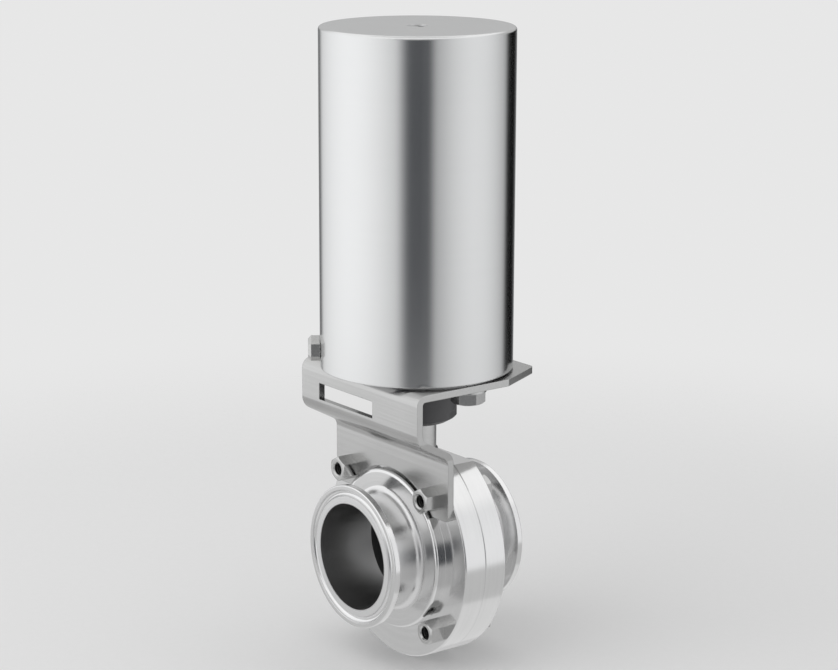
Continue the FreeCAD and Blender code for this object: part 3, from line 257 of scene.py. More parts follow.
def new_material(name: str) -> tuple[bpy.types.Material, Graph]:
    """A material with an empty graph.

    Args:
        name: The material's name.

    Returns:
        The material and its graph.
    """
    material = bpy.data.materials.new(name)
    material.use_nodes = True
    return material, Graph(material.node_tree)


def tinted(colour: Colour, share: float) -> Colour:
    """A colour made darker, or lighter where the share is over 1."""
    return tuple(min(1.0, channel * share) for channel in colour)


def grain_vector(graph: Graph, grain: Grain, fine: float) -> Signal:
    """A place that changes fast across the tool marks and slowly along them.

    Round marks are as long as straight ones at GRAIN_RADIUS.

    Args:
        graph: The material's graph.
        grain: The way the marks run.
        fine: Marks per metre across the grain.

    Returns:
        The vector to read noise with.
    """
    x, y, z = graph.split(graph.place())
    slow = fine * GRAIN_STRETCH
    if grain is Grain.ROUND_STEM:
        radius = (x * x + y * y).root()
        return graph.join(y.turn_from(x) * (GRAIN_RADIUS * slow), radius * fine, z * fine)
    if grain is Grain.ROUND_PIPE:
        radius = (x * x + z * z).root()
        return graph.join(z.turn_from(x) * (GRAIN_RADIUS * slow), radius * fine, y * fine)
    if grain is Grain.ALONG_WIDTH:
        return graph.join(x * slow, y * fine, z * fine)
    return graph.join(x * fine, y * fine, z * fine)


class Way(Enum):
    """The way from which the dull, darkened places of a piece are seen; their darkening is painted shade."""

    BOTH_ENDS = "both ends of the pipe"
    FRONT = "the front end of the pipe"
    TOP = "the top of the stem"


@dataclass(frozen=True)
class DullPaintedShadeZone:
    """Round places, such as the walls of holes and bores, that are left rougher and darker; the darkening is
    painted shade for the shade inside them.

    Attributes:
        way: The way they face.
        radius: Their radius.
        start: Where they start along the axis.
        shade: Share of the metal's colour that they keep; what is taken off is painted shade.
        rougher: What they add to the roughness.
        offsets: How far their middles lie from the axis, across and up.
        inner: Radius inside which they end.
        soft: Width of their soft edge.
    """

    way: Way
    radius: float
    start: float
    shade: float
    rougher: float
    offsets: tuple[float, float] = (0.0, 0.0)
    inner: float = 0.0
    soft: float = 0.2 * MM

    def mask(self, graph: Graph) -> Signal:
        """Finds the places.

        Args:
            graph: The material's graph.

        Returns:
            1 on the places, 0 elsewhere.
        """
        x, y, z = graph.split(graph.place())
        up, along = (y, z) if self.way is Way.TOP else (z, 0 - y)
        if self.way is Way.BOTH_ENDS:
            along = (y * y).root()
        across = (x * x).root() - self.offsets[0]
        up = (up * up).root() - self.offsets[1]
        away = (across * across + up * up).root()
        outside = away.step(self.radius, self.radius + self.soft)
        hollow = 1 - away.step(self.inner - 2 * self.soft, self.inner - self.soft)
        return along.step(self.start, self.start + self.soft) * (1 - outside) * (1 - hollow)


@dataclass(frozen=True)
class Steel:
    """Bare stainless steel, from ground to polished.

    Attributes:
        name: The finish's name.
        colour: The metal's colour.
        roughness: Its middle roughness.
        grain: The way its tool marks run.
        marks: Tool marks per metre.
        depth: Height of the marks in metres.
        clouding: How far the roughness wanders over the surface.
        edge: Radius of the softened edges in metres.
        zones: Places that are left rougher and darkened with painted shade, the later ones on top.
        clouds: Clouds per metre.
        specks: Specks per metre.
        speck_depth: Height of the specks, as a share of the marks'.
        mark_share: How far the marks change the roughness, as a share of the clouding.
        darkening: How much darker the clouds are, for each step of clouding.
    """

    name: str
    colour: Colour
    roughness: float
    grain: Grain = Grain.EVEN
    marks: float = 1400.0
    depth: float = 4e-6
    clouding: float = 0.05
    edge: float = 0.3 * MM
    zones: tuple[DullPaintedShadeZone, ...] = ()
    clouds: float = 34.0
    specks: float = 900.0
    speck_depth: float = 0.15
    mark_share: float = 0.45
    darkening: float = 2.4

    def material(self) -> bpy.types.Material:
        """Builds the material.

        Returns:
            The finished material.
        """
        material, graph = new_material(self.name)
        place = graph.place()
        marks = graph.noise(grain_vector(graph, self.grain, self.marks), scale=1.0, roughness=0.6)
        clouds = graph.noise(place, self.clouds, detail=4.0, roughness=0.55)
        specks = graph.noise(place, self.specks, detail=2.0)
        wander = ((clouds - 0.5) + (marks - 0.5) * self.mark_share) * (2 * self.clouding)
        roughness = wander + self.roughness
        darker = tinted(self.colour, 1 - self.darkening * self.clouding)
        colour = graph.blend(((clouds + marks) * 0.5).step(*CLOUD_EDGES), darker, self.colour)
        # Each zone roughens its places and darkens their colour, which paints shade into holes and bores.
        for zone in self.zones:
            inside = zone.mask(graph)
            roughness = roughness + inside * zone.rougher
            colour = graph.blend(inside, colour, tinted(self.colour, zone.shade))
        normal = graph.bump(marks + specks * self.speck_depth, self.depth, normal=graph.bevel(self.edge))
        graph.surface(Base_Color=colour, Metallic=1.0, Roughness=roughness, Normal=normal)
        return material


@dataclass(frozen=True)
class Rubber:
    """Moulded rubber, dull with a faint bloom.

    Attributes:
        name: The finish's name.
        colour: The rubber's colour.
        bloom: Colour of the powdery bloom.
        bloom_edges: Share of the noise between which the bloom comes in.
        roughness: Its lowest roughness.
        wander: How far the roughness rises with the bloom.
        gloss: Its specular level.
        clouds: Patches of bloom per metre.
        pores: Pores per metre.
        pore_depth: Depth of the pores in metres.
    """

    name: str
    colour: Colour = (0.018, 0.018, 0.019)
    bloom: Colour = (0.05, 0.05, 0.052)
    bloom_edges: tuple[float, float] = (0.45, 0.75)
    roughness: float = 0.5
    wander: float = 0.2
    gloss: float = 0.4
    clouds: float = 60.0
    pores: float = 2600.0
    pore_depth: float = 3e-5

    def material(self) -> bpy.types.Material:
        """Builds the material.

        Returns:
            The finished material.
        """
        material, graph = new_material(self.name)
        place = graph.place()
        clouds = graph.noise(place, self.clouds, detail=5.0)
        pores = graph.noise(place, self.pores, detail=2.0)
        graph.surface(
            Base_Color=graph.blend(clouds.step(*self.bloom_edges), self.colour, self.bloom),
            Roughness=clouds * self.wander + self.roughness,
            Specular_IOR_Level=self.gloss,
            Normal=graph.bump(pores, self.pore_depth, strength=0.6),
        )
        return material


@dataclass(frozen=True)
class Plastic:
    """Moulded or turned engineering plastic.

    Attributes:
        name: The finish's name.
        colour: The plastic's colour.
        roughness: Its middle roughness.
        wander: How far the roughness wanders.
        lighter: How much lighter its pale clouds are.
        clouds: Clouds per metre.
        pits: Pits per metre.
        pit_depth: Depth of the pits in metres.
        edge: Radius of the softened edges in metres.
    """

    name: str
    colour: Colour
    roughness: float
    wander: float = 0.15
    lighter: float = 1.3
    clouds: float = 45.0
    pits: float = 1900.0
    pit_depth: float = 1.5e-5
    edge: float = 0.3 * MM

    def material(self) -> bpy.types.Material:
        """Builds the material.

        Returns:
            The finished material.
        """
        material, graph = new_material(self.name)
        place = graph.place()
        clouds = graph.noise(place, self.clouds, detail=4.0)
        pits = graph.noise(place, self.pits, detail=2.0)
        graph.surface(
            Base_Color=graph.blend(clouds.step(*CLOUD_EDGES), self.colour, tinted(self.colour, self.lighter)),
            Roughness=(clouds - 0.5) * self.wander + self.roughness,
            Normal=graph.bump(pits, self.pit_depth, strength=0.5, normal=graph.bevel(self.edge)),
        )
        return material


@dataclass(frozen=True)
class Bronze:
    """Sintered bronze with open, oil-filled pores.

    Attributes:
        name: The finish's name.
        colour: The metal's colour.
        oil: Colour inside the pores.
        roughness: Its lowest roughness.
        wander: How far the roughness wanders.
        pore_rougher: What a pore adds to the roughness.
        clouds: Clouds per metre.
        pores: Pores per metre.
        pore_edges: Share of the noise between which a pore opens.
        pore_depth: Depth of the pores in metres.
    """

    name: str
    colour: Colour = (0.62, 0.42, 0.22)
    oil: Colour = (0.16, 0.10, 0.05)
    roughness: float = 0.25
    wander: float = 0.2
    pore_rougher: float = 0.3
    clouds: float = 80.0
    pores: float = 2400.0
    pore_edges: tuple[float, float] = (0.60, 0.68)
    pore_depth: float = 2e-5

    def material(self) -> bpy.types.Material:
        """Builds the material.

        Returns:
            The finished material.
        """
        material, graph = new_material(self.name)
        place = graph.place()
        clouds = graph.noise(place, self.clouds)
        open_pore = graph.noise(place, self.pores, detail=2.0).step(*self.pore_edges)
        graph.surface(
            Base_Color=graph.blend(open_pore, self.colour, self.oil),
            Metallic=1.0,
            Roughness=clouds * self.wander + open_pore * self.pore_rougher + self.roughness,
            Normal=graph.bump(1 - open_pore, self.pore_depth, strength=0.7),
        )
        return material


@dataclass
class Finishes:
    """Every finish of the valve.

    Attributes:
        by_slot: The materials, by the record's material slot.
    """

    by_slot: dict[str, bpy.types.Material] = field(default_factory=dict)

    def build(self) -> None:
        """Makes one material for each slot."""
        # Band on the outside of the body's necks, 15 mm or more from the disc: rougher for a real satin
        # finish, and 5 per cent darker as painted shade.
        neck_satin_and_painted_shade = DullPaintedShadeZone(
            Way.BOTH_ENDS,
            radius=27.5 * MM,
            start=15.0 * MM,
            shade=0.95,
            rougher=0.15,
            inner=24.6 * MM,
        )
        # Painted shade inside the pipe bore, from 5 mm off the disc outwards: its colour is darkened to about
        # half, with added roughness.
        pipe_bore_painted_shade = DullPaintedShadeZone(Way.BOTH_ENDS, radius=23.85 * MM, start=5.0 * MM, shade=0.52, rougher=0.22)
        # Painted shade in the open mouths of the four body nuts and on their threads: the colour is darkened
        # to a tenth.
        nut_bore_painted_shade = DullPaintedShadeZone(
            Way.FRONT,
            radius=2.7 * MM,
            start=10.0 * MM,
            shade=0.1,
            rougher=0.22,
            offsets=(30.4 * MM, 30.4 * MM),
        )
        # Two dark spots painted on the vent plug's top, wider than its modelled holes: painted shade standing
        # in for the dark inside of the holes.
        vent_hole_painted_shade = DullPaintedShadeZone(
            Way.TOP,
            radius=1.35 * MM,
            start=220.0 * MM,
            shade=0.01,
            rougher=0.75,
            offsets=(0.0, 2.0 * MM),
        )
        made = {
            "body_steel": Steel(
                "polished_body_steel",
                colour=(0.77, 0.77, 0.77),
                roughness=0.14,
                grain=Grain.ROUND_PIPE,
                marks=1200.0,
                depth=2.0e-6,
                clouding=0.03,
                zones=(neck_satin_and_painted_shade, pipe_bore_painted_shade),
            ),
            "can_steel": Steel(
                "brushed_can_steel",
                colour=(0.70, 0.705, 0.705),
                roughness=0.18,
                grain=Grain.ROUND_STEM,
                marks=1500.0,
                depth=7.0e-7,
                clouding=0.008,
                edge=0.6 * MM,
            ),
            "sheet_steel": Steel(
                "bent_sheet_steel",
                colour=(0.545, 0.545, 0.54),
                roughness=0.25,
                grain=Grain.ALONG_WIDTH,
                marks=1100.0,
                depth=1.2e-6,
                clouding=0.04,
                edge=0.4 * MM,
            ),
            "bolt_steel": Steel(
                "bright_bolt_steel",
                colour=(0.57, 0.57, 0.565),
                roughness=0.20,
                marks=900.0,
                depth=3e-6,
                zones=(nut_bore_painted_shade,),
            ),
            "turned_steel": Steel(
                "turned_stem_steel",
                colour=(0.60, 0.60, 0.595),
                roughness=0.24,
                grain=Grain.ROUND_STEM,
                marks=1300.0,
                zones=(vent_hole_painted_shade,),
            ),
            "spring_steel": Steel(
                "spring_wire_steel",
                colour=(0.33, 0.34, 0.36),
                roughness=0.33,
                marks=700.0,
                depth=6e-6,
                clouding=0.08,
            ),
            "cover_aluminium": Steel(
                "turned_aluminium",
                colour=(0.80, 0.80, 0.81),
                roughness=0.30,
                grain=Grain.ROUND_STEM,
                marks=1000.0,
                depth=5e-6,
            ),
            "seat_rubber": Rubber("moulded_seat_rubber"),
            "seal_rubber": Rubber("moulded_seal_rubber", colour=(0.012, 0.012, 0.013)),
            "bush_polymer": Plastic("black_bush_polymer", colour=(0.05, 0.05, 0.05), roughness=0.5),
            "ring_plastic": Plastic("dark_ring_plastic", colour=(0.055, 0.055, 0.058), roughness=0.32),
            "bearing_bronze": Bronze("sintered_bronze"),
        }
        for slot, finish in made.items():
            self.by_slot[slot] = finish.material()

    def dress(self, nodes: tuple[str, ...]) -> None:
        """Gives carried-over pieces the material of their slot.

        Args:
            nodes: The pieces' names.
        """
        slots = {row["node"]: row["material_slot"] for row in frame["record"]["subparts"]}
        for name in nodes:
            piece = frame["nodes"][name]
            material = self.by_slot[slots[name]]
            if not piece.material_slots:
                piece.data.materials.append(material)
            for slot in piece.material_slots:
                slot.material = material
            LOG.info("%s wears %s", name, material.name)

    def give(self, piece: bpy.types.Object, slot: str, body: str) -> None:
        """Dresses a new piece and lets it ride.

        Args:
            piece: The piece.
            slot: Its material slot.
            body: The body it rides on.
        """
        piece.data.materials.clear()
        piece.data.materials.append(self.by_slot[slot])
        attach(piece, body)
        LOG.info("%s rides on %s", piece.name, body)


def mesh_piece(name: str, shape: bmesh.types.BMesh, smooth_angle: float = SMOOTH_ANGLE) -> bpy.types.Object:
    """Turns a bmesh into a piece with smooth faces and sharp edges.

    Args:
        name: The piece's name.
        shape: Its geometry, freed here.
        smooth_angle: Edges sharper than this stay sharp, in degrees.

    Returns:
        The piece.
    """
    bmesh.ops.recalc_face_normals(shape, faces=shape.faces[:])
    limit = math.radians(smooth_angle)
    for face in shape.faces:
        face.smooth = True
    for edge in shape.edges:
        edge.smooth = len(edge.link_faces) == 2 and edge.calc_face_angle(0.0) < limit
    mesh = bpy.data.meshes.new(name)
    shape.to_mesh(mesh)
    shape.free()
    piece = bpy.data.objects.new(name, mesh)
    bpy.context.scene.collection.objects.link(piece)
    return piece


def skin_rings(shape: bmesh.types.BMesh, rings: list[list[Vector]]) -> None:
    """Joins rings of points into a closed bar.

    Args:
        shape: The mesh it is added to.
        rings: The rings in order, each with the same number of points.
    """
    rows = [[shape.verts.new(point) for point in ring] for ring in rings]
    for low, high in zip(rows, rows[1:]):
        for index in range(len(low)):
            following = (index + 1) % len(low)
            shape.faces.new((low[index], low[following], high[following], high[index]))
    shape.faces.new(rows[0])
    shape.faces.new(reversed(rows[-1]))


@dataclass
class ThreadCoil:
    """The ridge of an internal screw thread.

    Attributes:
        root: Radius of the wall it stands on.
        depth: Depth of the thread.
        pitch: Rise of one turn.
        length: Length along the screw.
        foot: Half the width of the ridge's foot, as a share of the pitch.
        tip: Half the width of its crest, as a share of the pitch.
        steps: Points in one turn.
    """

    root: float
    depth: float
    pitch: float
    length: float
    foot: float = 0.4
    tip: float = 0.06
    steps: int = 28

    def add_to(self, shape: bmesh.types.BMesh, start: Vector, axis: Vector) -> None:
        """Winds the ridge.

        Args:
            shape: The mesh it is added to.
            start: The middle of its first turn.
            axis: The way it winds, a unit vector.
        """
        facing = axis.to_track_quat("Z", "Y").to_matrix()
        crest = self.root - self.depth
        profile = ((self.root, -self.foot), (crest, -self.tip), (crest, self.tip), (self.root, self.foot))
        count = round((self.length / self.pitch - 2 * self.foot) * self.steps)
        rings = []
        for index in range(count + 1):
            angle = math.tau * index / self.steps
            outward = Vector((math.cos(angle), math.sin(angle), 0))
            rise = index / self.steps + self.foot
            rings.append(
                [
                    start + facing @ (outward * radius + Vector((0, 0, (rise + share) * self.pitch)))
                    for radius, share in profile
                ]
            )
        skin_rings(shape, rings)


@dataclass
class ValveBody:
    """The two body halves, the seat and what clamps them.

    Attributes:
        bolt_offset: Bolts from the pipe axis, across and up.
        nut_bore: Bore radius of a nut.
        nut_height: Height of a nut.
        nut_mouth: Chamfer at the mouth of its bore.
        bolt_grip: Length of a nut that its bolt fills.
        upper_nut_seat: Seat of the upper nuts, along the pipe.
        lower_nut_seat: Seat of the lower nuts, along the pipe.
        thread_pitch: Pitch of the nuts' threads.
        thread_depth: Depth of the nuts' threads.
        thread_gap: Gap between the bolt's end and the thread.
        nodes: Pieces whose solids are shown as they are.
    """

    bolt_offset: float = 30.4 * MM
    nut_bore: float = 2.6 * MM
    nut_height: float = 7.5 * MM
    nut_mouth: float = 0.8 * MM
    bolt_grip: float = 3.5 * MM
    upper_nut_seat: float = -14.1 * MM
    lower_nut_seat: float = -11.1 * MM
    thread_pitch: float = 1.0 * MM
    thread_depth: float = 0.4 * MM
    thread_gap: float = 0.1 * MM
    nodes: tuple[str, ...] = (
        "body_front",
        "body_rear",
        "seat_ring",
        "upper_stem_bush",
        "lower_stem_bush",
        "upper_body_bolts",
        "lower_body_bolts",
        "body_nuts",
    )

    def build(self, finishes: Finishes) -> None:
        """Dresses the body and threads its nuts."""
        finishes.dress(self.nodes)
        finishes.give(self.nut_threads(), "bolt_steel", "housing")

    def nut_threads(self) -> bpy.types.Object:
        """The thread that shows in the open mouth of each nut.

        Returns:
            The four threads as one piece.
        """
        shape = bmesh.new()
        open_length = self.nut_height - self.bolt_grip - self.nut_mouth
        coil = ThreadCoil(self.nut_bore, self.thread_depth, self.thread_pitch, open_length)
        for side in (-1, 1):
            for height, seat in ((1, self.upper_nut_seat), (-1, self.lower_nut_seat)):
                along = seat - self.bolt_grip - self.thread_gap
                start = Vector((side * self.bolt_offset, along, height * self.bolt_offset))
                coil.add_to(shape, start, Vector((0, -1, 0)))
        return mesh_piece("nut_threads", shape, THREAD_SMOOTH_ANGLE)


@dataclass
class BracketAssembly:
    """The bent sheet and the two bolts that hold the actuator on it.

    Attributes:
        nodes: Pieces whose solids are shown as they are.
    """

    nodes: tuple[str, ...] = ("bracket", "bracket_bolts", "bracket_washers")

    def build(self, finishes: Finishes) -> None:
        """Dresses the bracket and its fasteners."""
        finishes.dress(self.nodes)


@dataclass
class DriveLine:
    """Everything that turns with the disc.

    Attributes:
        nodes: Pieces whose solids are shown as they are.
    """

    nodes: tuple[str, ...] = ("disc", "coupling", "position_ring", "output_shaft", "shaft_clip")

    def build(self, finishes: Finishes) -> None:
        """Dresses the turning pieces."""
        finishes.dress(self.nodes)


@dataclass
class ClosingSpring:
    """The coil over the piston. The real coil shortens as the piston rises; this one rides on the housing and
    keeps its length.

    Attributes:
        radius: Radius of the coil, to the wire's middle.
        wire: Radius of the wire.
        low: Height of the wire's middle at the lower end.
        rise: Its rise to the upper end.
        turns: Turns from end to end.
        bevel: Bevel of the cut ends.
        stroke: How far the piston shortens the coil. Not used.
        steps: Rings of points in one turn.
        sides: Points in one ring.
    """

    radius: float = 32.0 * MM
    wire: float = 2.5 * MM
    low: float = 145.61 * MM
    rise: float = 77.78 * MM
    turns: float = 5.5
    bevel: float = 0.5 * MM
    stroke: float = 40.0 * MM
    steps: int = 72
    sides: int = 20

    def ring(self, turn: float, size: float) -> list[Vector]:
        """Places one ring of points round the wire.

        Args:
            turn: How far along the coil, in turns.
            size: The ring's radius.

        Returns:
            Its points.
        """
        angle = math.tau * turn
        slope = self.rise / self.turns / (math.tau * self.radius)
        outward = Vector((math.cos(angle), math.sin(angle), 0))
        along = Vector((-math.sin(angle), math.cos(angle), slope)).normalized()
        across = outward.cross(along)
        middle = outward * self.radius + Vector((0, 0, self.low + self.rise * turn / self.turns))
        points = []
        for index in range(self.sides):
            corner = math.tau * index / self.sides
            points.append(middle + outward * (size * math.cos(corner)) + across * (size * math.sin(corner)))
        return points

    def build(self, finishes: Finishes) -> None:
        """Winds the coil and puts it on the housing in place of the carried-over spring.

        Args:
            finishes: The valve's finishes.
        """
        shape = bmesh.new()
        count = round(self.turns * self.steps)
        inset = self.bevel / (math.tau * self.radius)
        places = [inset + (self.turns - 2 * inset) * index / count for index in range(count + 1)]
        rings = [self.ring(0, self.wire - self.bevel)]
        rings += [self.ring(place, self.wire) for place in places]
        rings.append(self.ring(self.turns, self.wire - self.bevel))
        skin_rings(shape, rings)
        coil = mesh_piece("closing_spring_coil", shape)
        finishes.give(coil, "spring_steel", "housing")
        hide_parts("closing_spring")
        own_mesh(coil)


@dataclass
class Actuator:
    """The can, what closes it, and the working pieces inside.

    Attributes:
        port_turn: Air port's angle from the front, in degrees.
        port_height: Height of the air port.
        port_floor: Floor of the port's tapped mouth, from the stem axis.
        port_radius: Radius of the tapped mouth.
        port_depth: Length of its thread.
        thread_pitch: Pitch of its thread.
        thread_depth: Depth of its thread.
        spring: The closing spring.
        nodes: Pieces whose solids are shown as they are.
    """

    port_turn: float = -35.0
    port_height: float = 89.8 * MM
    port_floor: float = 44.5 * MM
    port_radius: float = 2.1 * MM
    port_depth: float = 3.1 * MM
    thread_pitch: float = 0.8 * MM
    thread_depth: float = 0.35 * MM
    spring: ClosingSpring = field(default_factory=ClosingSpring)
    nodes: tuple[str, ...] = (
        "actuator_can",
        "vent_plug",
        "air_fitting",
        "bottom_cover",
        "cover_seal",
        "retaining_wire",
        "shaft_bush",
        "shaft_seal",
        "thrust_washer",
        "guide_sleeve",
        "piston",
        "piston_seal",
        "piston_guide_band",
        "pin_carrier",
        "cross_pin",
        "inner_rollers",
        "outer_rollers",
        "spring_seat",
    )

    def build(self, finishes: Finishes) -> None:
        """Dresses the actuator, threads its air port and winds its spring.

        Args:
            finishes: The valve's finishes.
        """
        finishes.dress(self.nodes)
        finishes.give(self.port_thread(), "turned_steel", "housing")
        self.spring.build(finishes)

    def port_thread(self) -> bpy.types.Object:
        """The thread in the mouth of the air fitting.

        Returns:
            The thread.
        """
        turn = math.radians(self.port_turn)
        outward = Vector((math.sin(turn), -math.cos(turn), 0))
        shape = bmesh.new()
        coil = ThreadCoil(self.port_radius, self.thread_depth, self.thread_pitch, self.port_depth)
        coil.add_to(shape, outward * self.port_floor + Vector((0, 0, self.port_height)), outward)
        return mesh_piece("port_thread", shape, THREAD_SMOOTH_ANGLE)


@dataclass(frozen=True)
class SoftScreen:
    """A soft screen in the ring round the valve.

    Attributes:
        middle: Its middle, in degrees to the right of the camera.
        half_width: Half of the angle that it covers, in degrees.
        soft: Width of its soft edges, in degrees.
        fall: Share of its light that is lost from its middle to its edges.
        glow: Colour and level of its middle.
    """

    middle: float
    half_width: float
    soft: float
    fall: float
    glow: Colour

    def add_to(self, graph: Graph, place: tuple[Signal, Signal], azimuth: float, total: Signal) -> Signal:
        """Adds its light to the light of the screens before it.

        Args:
            graph: The ring's graph.
            place: The point on the ring, x and y.
            azimuth: Camera's angle round the valve, in degrees.
            total: The light so far.

        Returns:
            The light with this screen's part.
        """
        x, y = place
        # An azimuth of 0 lies on the -Y side, a quarter turn before X.
        turn = math.radians(azimuth - 90.0 + self.middle)
        along = x * math.cos(turn) + y * math.sin(turn)
        across = y * math.cos(turn) - x * math.sin(turn)
        away = (across * across).root().turn_from(along) * math.degrees(1.0)
        inside = 1 - away.step(self.half_width - self.soft / 2, self.half_width + self.soft / 2)
        share = inside * (1 - away * away * (self.fall / self.half_width**2))
        return graph.add(
            "ShaderNodeVectorMath",
            {"operation": "MULTIPLY_ADD"},
            {0: graph.join(share, share, share), 1: self.glow, 2: total},
        )


@dataclass
class ViewCamera:
    """The camera, at the photograph's viewing angle.

    Attributes:
        azimuth: Its angle round the valve, in degrees.
        elevation: Its angle over the horizon, in degrees.
        roll: Its roll, in degrees.
        distance: Its distance from the target.
        target_height: Height of the target.
        target_shift: Target to the right of the stem axis.
        focal_pixels: Focal length in the photograph's pixels.
        sensor: Width of its sensor, in millimetres.
    """

    azimuth: float = 52.53
    elevation: float = 13.60
    roll: float = 0.189
    distance: float = 1.0453
    target_height: float = 0.095317
    target_shift: float = 0.001056
    focal_pixels: float = 2378.4
    sensor: float = 36.0

    def build(self) -> None:
        """Sets the camera up."""
        turn, lift, roll = (math.radians(angle) for angle in (self.azimuth, self.elevation, self.roll))
        back = Vector((math.sin(turn) * math.cos(lift), -math.cos(turn) * math.cos(lift), math.sin(lift)))
        level = Vector((math.cos(turn), math.sin(turn), 0))
        upright = back.cross(level)
        right = level * math.cos(roll) + upright * math.sin(roll)
        up = upright * math.cos(roll) - level * math.sin(roll)
        data = bpy.data.cameras.new("camera")
        data.sensor_width = self.sensor
        data.lens = self.sensor * (self.focal_pixels / PHOTO_WIDTH)
        camera = bpy.data.objects.new("camera", data)
        target = Vector((0, 0, self.target_height)) + level * self.target_shift
        axes = Matrix((right, up, back)).transposed().to_4x4()
        camera.matrix_world = Matrix.Translation(target + back * self.distance) @ axes
        bpy.context.scene.collection.objects.link(camera)
        bpy.context.scene.camera = camera


@dataclass
class PaleFloor:
    """The round floor, which fades into the background.

    Attributes:
        height: Its height.
        radius: Its radius.
        corners: Corners of its outline.
        fade: Radii between which it fades.
        colours: The two colours of its grain.
        grain: Grains per metre.
    """

    height: float = -50.05 * MM
    radius: float = 0.62
    corners: int = 128
    fade: tuple[float, float] = (0.28, 0.60)
    colours: tuple[Colour, Colour] = ((0.80, 0.80, 0.80), (0.82, 0.82, 0.82))
    grain: float = 300.0

    def build(self) -> None:
        """Lays the floor, which polished faces don't see."""
        shape = bmesh.new()
        bmesh.ops.create_circle(shape, cap_ends=True, segments=self.corners, radius=self.radius)
        bmesh.ops.translate(shape, verts=shape.verts[:], vec=(0, 0, self.height))
        floor = mesh_piece("studio_floor", shape)
        floor.data.materials.append(self.material())
        floor.visible_glossy = False

    def material(self) -> bpy.types.Material:
        """Builds the material.

        Returns:
            The finished material.
        """
        material, graph = new_material("pale_floor")
        x, y, _ = graph.split(graph.place())
        faded = (x * x + y * y).root().step(*self.fade)
        colour = graph.blend(graph.noise(graph.place(), self.grain), *self.colours)
        pale = graph.add("ShaderNodeBsdfDiffuse", inputs={"Color": colour})
        clear = graph.add("ShaderNodeBsdfTransparent")
        mixed = graph.add("ShaderNodeMixShader", inputs={0: faded, 1: pale, 2: clear})
        graph.add("ShaderNodeOutputMaterial", inputs={"Surface": mixed})
        return material


@dataclass
class ScreenRing:
    """The ring of pale and dark screens, which only polished faces see.

    Attributes:
        radius: Its radius.
        heights: Heights of its lower and upper edges.
        corners: Corners of its outline.
        screens: Its soft screens. Between them it is dark.
        cloth_glow: Level of the cloth that fills the dark gaps higher up.
        cloth_heights: Heights between which the cloth comes in.
        ground_glow: Level of its lowest part.
        ground_heights: Heights between which that part ends.
        roof_glow: Level of its highest part.
        roof_heights: Heights between which that part comes in.
    """

    radius: float = 2.2
    heights: tuple[float, float] = (-2.0, 4.2)
    corners: int = 180
    screens: tuple[SoftScreen, ...] = (
        SoftScreen(middle=-84.0, half_width=67.0, soft=18.0, fall=0.42, glow=(1.21, 1.214, 1.222)),
        SoftScreen(middle=71.5, half_width=54.0, soft=11.0, fall=0.56, glow=(0.97, 0.974, 0.982)),
        SoftScreen(middle=0.0, half_width=20.0, soft=20.0, fall=0.0, glow=(0.085, 0.089, 0.097)),
        SoftScreen(middle=180.0, half_width=20.0, soft=24.0, fall=0.3, glow=(0.38, 0.384, 0.392)),
    )
    cloth_glow: Colour = (0.58, 0.58, 0.58)
    cloth_heights: tuple[float, float] = (0.2, 0.55)
    ground_glow: Colour = (0.62, 0.62, 0.62)
    ground_heights: tuple[float, float] = (-0.72, -0.48)
    roof_glow: Colour = (1.15, 1.15, 1.15)
    roof_heights: tuple[float, float] = (1.1, 1.9)

    def build(self, azimuth: float) -> None:
        """Stands the ring round the valve.

        Args:
            azimuth: Camera's angle round the valve, in degrees.
        """
        shape = bmesh.new()
        rows = []
        for index in range(self.corners):
            angle = math.tau * index / self.corners
            across = Vector((math.cos(angle), math.sin(angle), 0)) * self.radius
            rows.append([shape.verts.new(across + Vector((0, 0, height))) for height in self.heights])
        for first, second in zip(rows, rows[1:] + rows[:1]):
            shape.faces.new((first[0], second[0], second[1], first[1]))
        ring = mesh_piece("studio_screens", shape)
        ring.data.materials.append(self.material(azimuth))
        ring.visible_camera = False
        ring.visible_diffuse = False
        ring.visible_shadow = False

    def material(self, azimuth: float) -> bpy.types.Material:
        """Builds the material.

        Args:
            azimuth: Camera's angle round the valve, in degrees.

        Returns:
            The finished material.
        """
        material, graph = new_material("studio_screen")
        x, y, z = graph.split(graph.place())
        light = graph.join(0.0, 0.0, 0.0)
        for screen in self.screens:
            light = screen.add_to(graph, (x, y), azimuth, light)
        cloth = graph.add("ShaderNodeVectorMath", {"operation": "MAXIMUM"}, {0: light, 1: self.cloth_glow})
        light = graph.blend(z.step(*self.cloth_heights), light, cloth)
        light = graph.blend(z.step(*self.ground_heights), self.ground_glow, light)
        light = graph.blend(z.step(*self.roof_heights), light, self.roof_glow)
        glow = graph.add("ShaderNodeEmission", inputs={"Color": light, "Strength": 1.0})
        graph.add("ShaderNodeOutputMaterial", inputs={"Surface": glow})
        return material


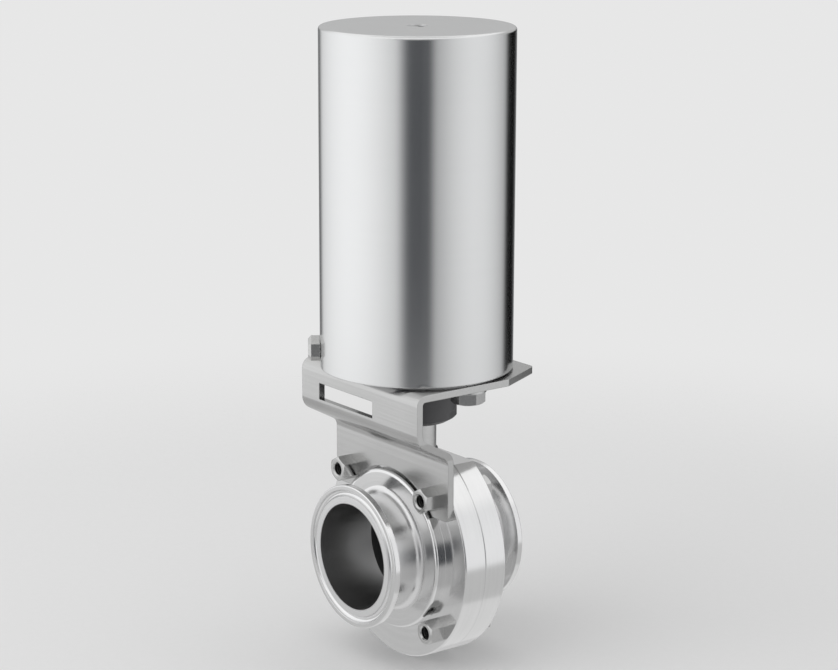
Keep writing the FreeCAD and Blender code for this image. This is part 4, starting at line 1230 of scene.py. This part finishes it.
@dataclass
class SoftLamp:
    """The large soft lamp at the upper left of the camera.

    Attributes:
        width: Its width.
        depth: Its depth.
        watts: Its power.
        turn: Its angle to the right of the camera, in degrees.
        away: Its distance from the stem axis.
        height: Its height.
        aim_height: Height on the stem axis that it faces.
    """

    width: float = 1.6
    depth: float = 1.2
    watts: float = 7.0
    turn: float = -60.0
    away: float = 1.3
    height: float = 1.5
    aim_height: float = 0.08

    def build(self, azimuth: float) -> None:
        """Hangs the lamp, which polished faces don't see.

        Args:
            azimuth: Camera's angle round the valve, in degrees.
        """
        data = bpy.data.lights.new("soft_lamp", "AREA")
        data.shape = "RECTANGLE"
        data.size = self.width
        data.size_y = self.depth
        data.energy = self.watts
        lamp = bpy.data.objects.new("soft_lamp", data)
        turn = math.radians(azimuth + self.turn)
        lamp.location = Vector((math.sin(turn) * self.away, -math.cos(turn) * self.away, self.height))
        aim = Vector((0, 0, self.aim_height)) - lamp.location
        lamp.rotation_euler = aim.to_track_quat("-Z", "Y").to_euler()
        lamp.visible_glossy = False
        bpy.context.scene.collection.objects.link(lamp)


@dataclass
class Studio:
    """Everything round the valve.

    Attributes:
        camera: The camera.
        floor: The floor.
        ring: The ring of screens.
        lamp: The lamp.
        surround: Colour of the plain light from all sides.
    """

    camera: ViewCamera = field(default_factory=ViewCamera)
    floor: PaleFloor = field(default_factory=PaleFloor)
    ring: ScreenRing = field(default_factory=ScreenRing)
    lamp: SoftLamp = field(default_factory=SoftLamp)
    surround: Colour = (0.80, 0.80, 0.80)

    def build(self) -> None:
        """Builds the studio."""
        self.camera.build()
        self.floor.build()
        self.ring.build(self.camera.azimuth)
        self.lamp.build(self.camera.azimuth)
        self.light_world()

    def light_world(self) -> None:
        """Surrounds the studio with plain pale light."""
        world = bpy.data.worlds.new("pale_surround")
        world.use_nodes = True
        graph = Graph(world.node_tree)
        sky = graph.add("ShaderNodeBackground", inputs={"Color": (*self.surround, 1.0), "Strength": 1.0})
        graph.add("ShaderNodeOutputWorld", inputs={"Surface": sky})
        bpy.context.scene.world = world


def main() -> None:
    """Builds the studio, the finishes and every sub-assembly in order."""
    logging.basicConfig(level=logging.INFO, format="%(name)s: %(message)s")
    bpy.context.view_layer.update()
    bpy.context.scene.view_settings.view_transform = "Standard"
    Studio().build()
    LOG.info("the studio is built")
    finishes = Finishes()
    finishes.build()
    for assembly in (ValveBody(), BracketAssembly(), DriveLine(), Actuator()):
        assembly.build(finishes)
        LOG.info("%s is built", type(assembly).__name__)


if __name__ == "__main__":
    main()
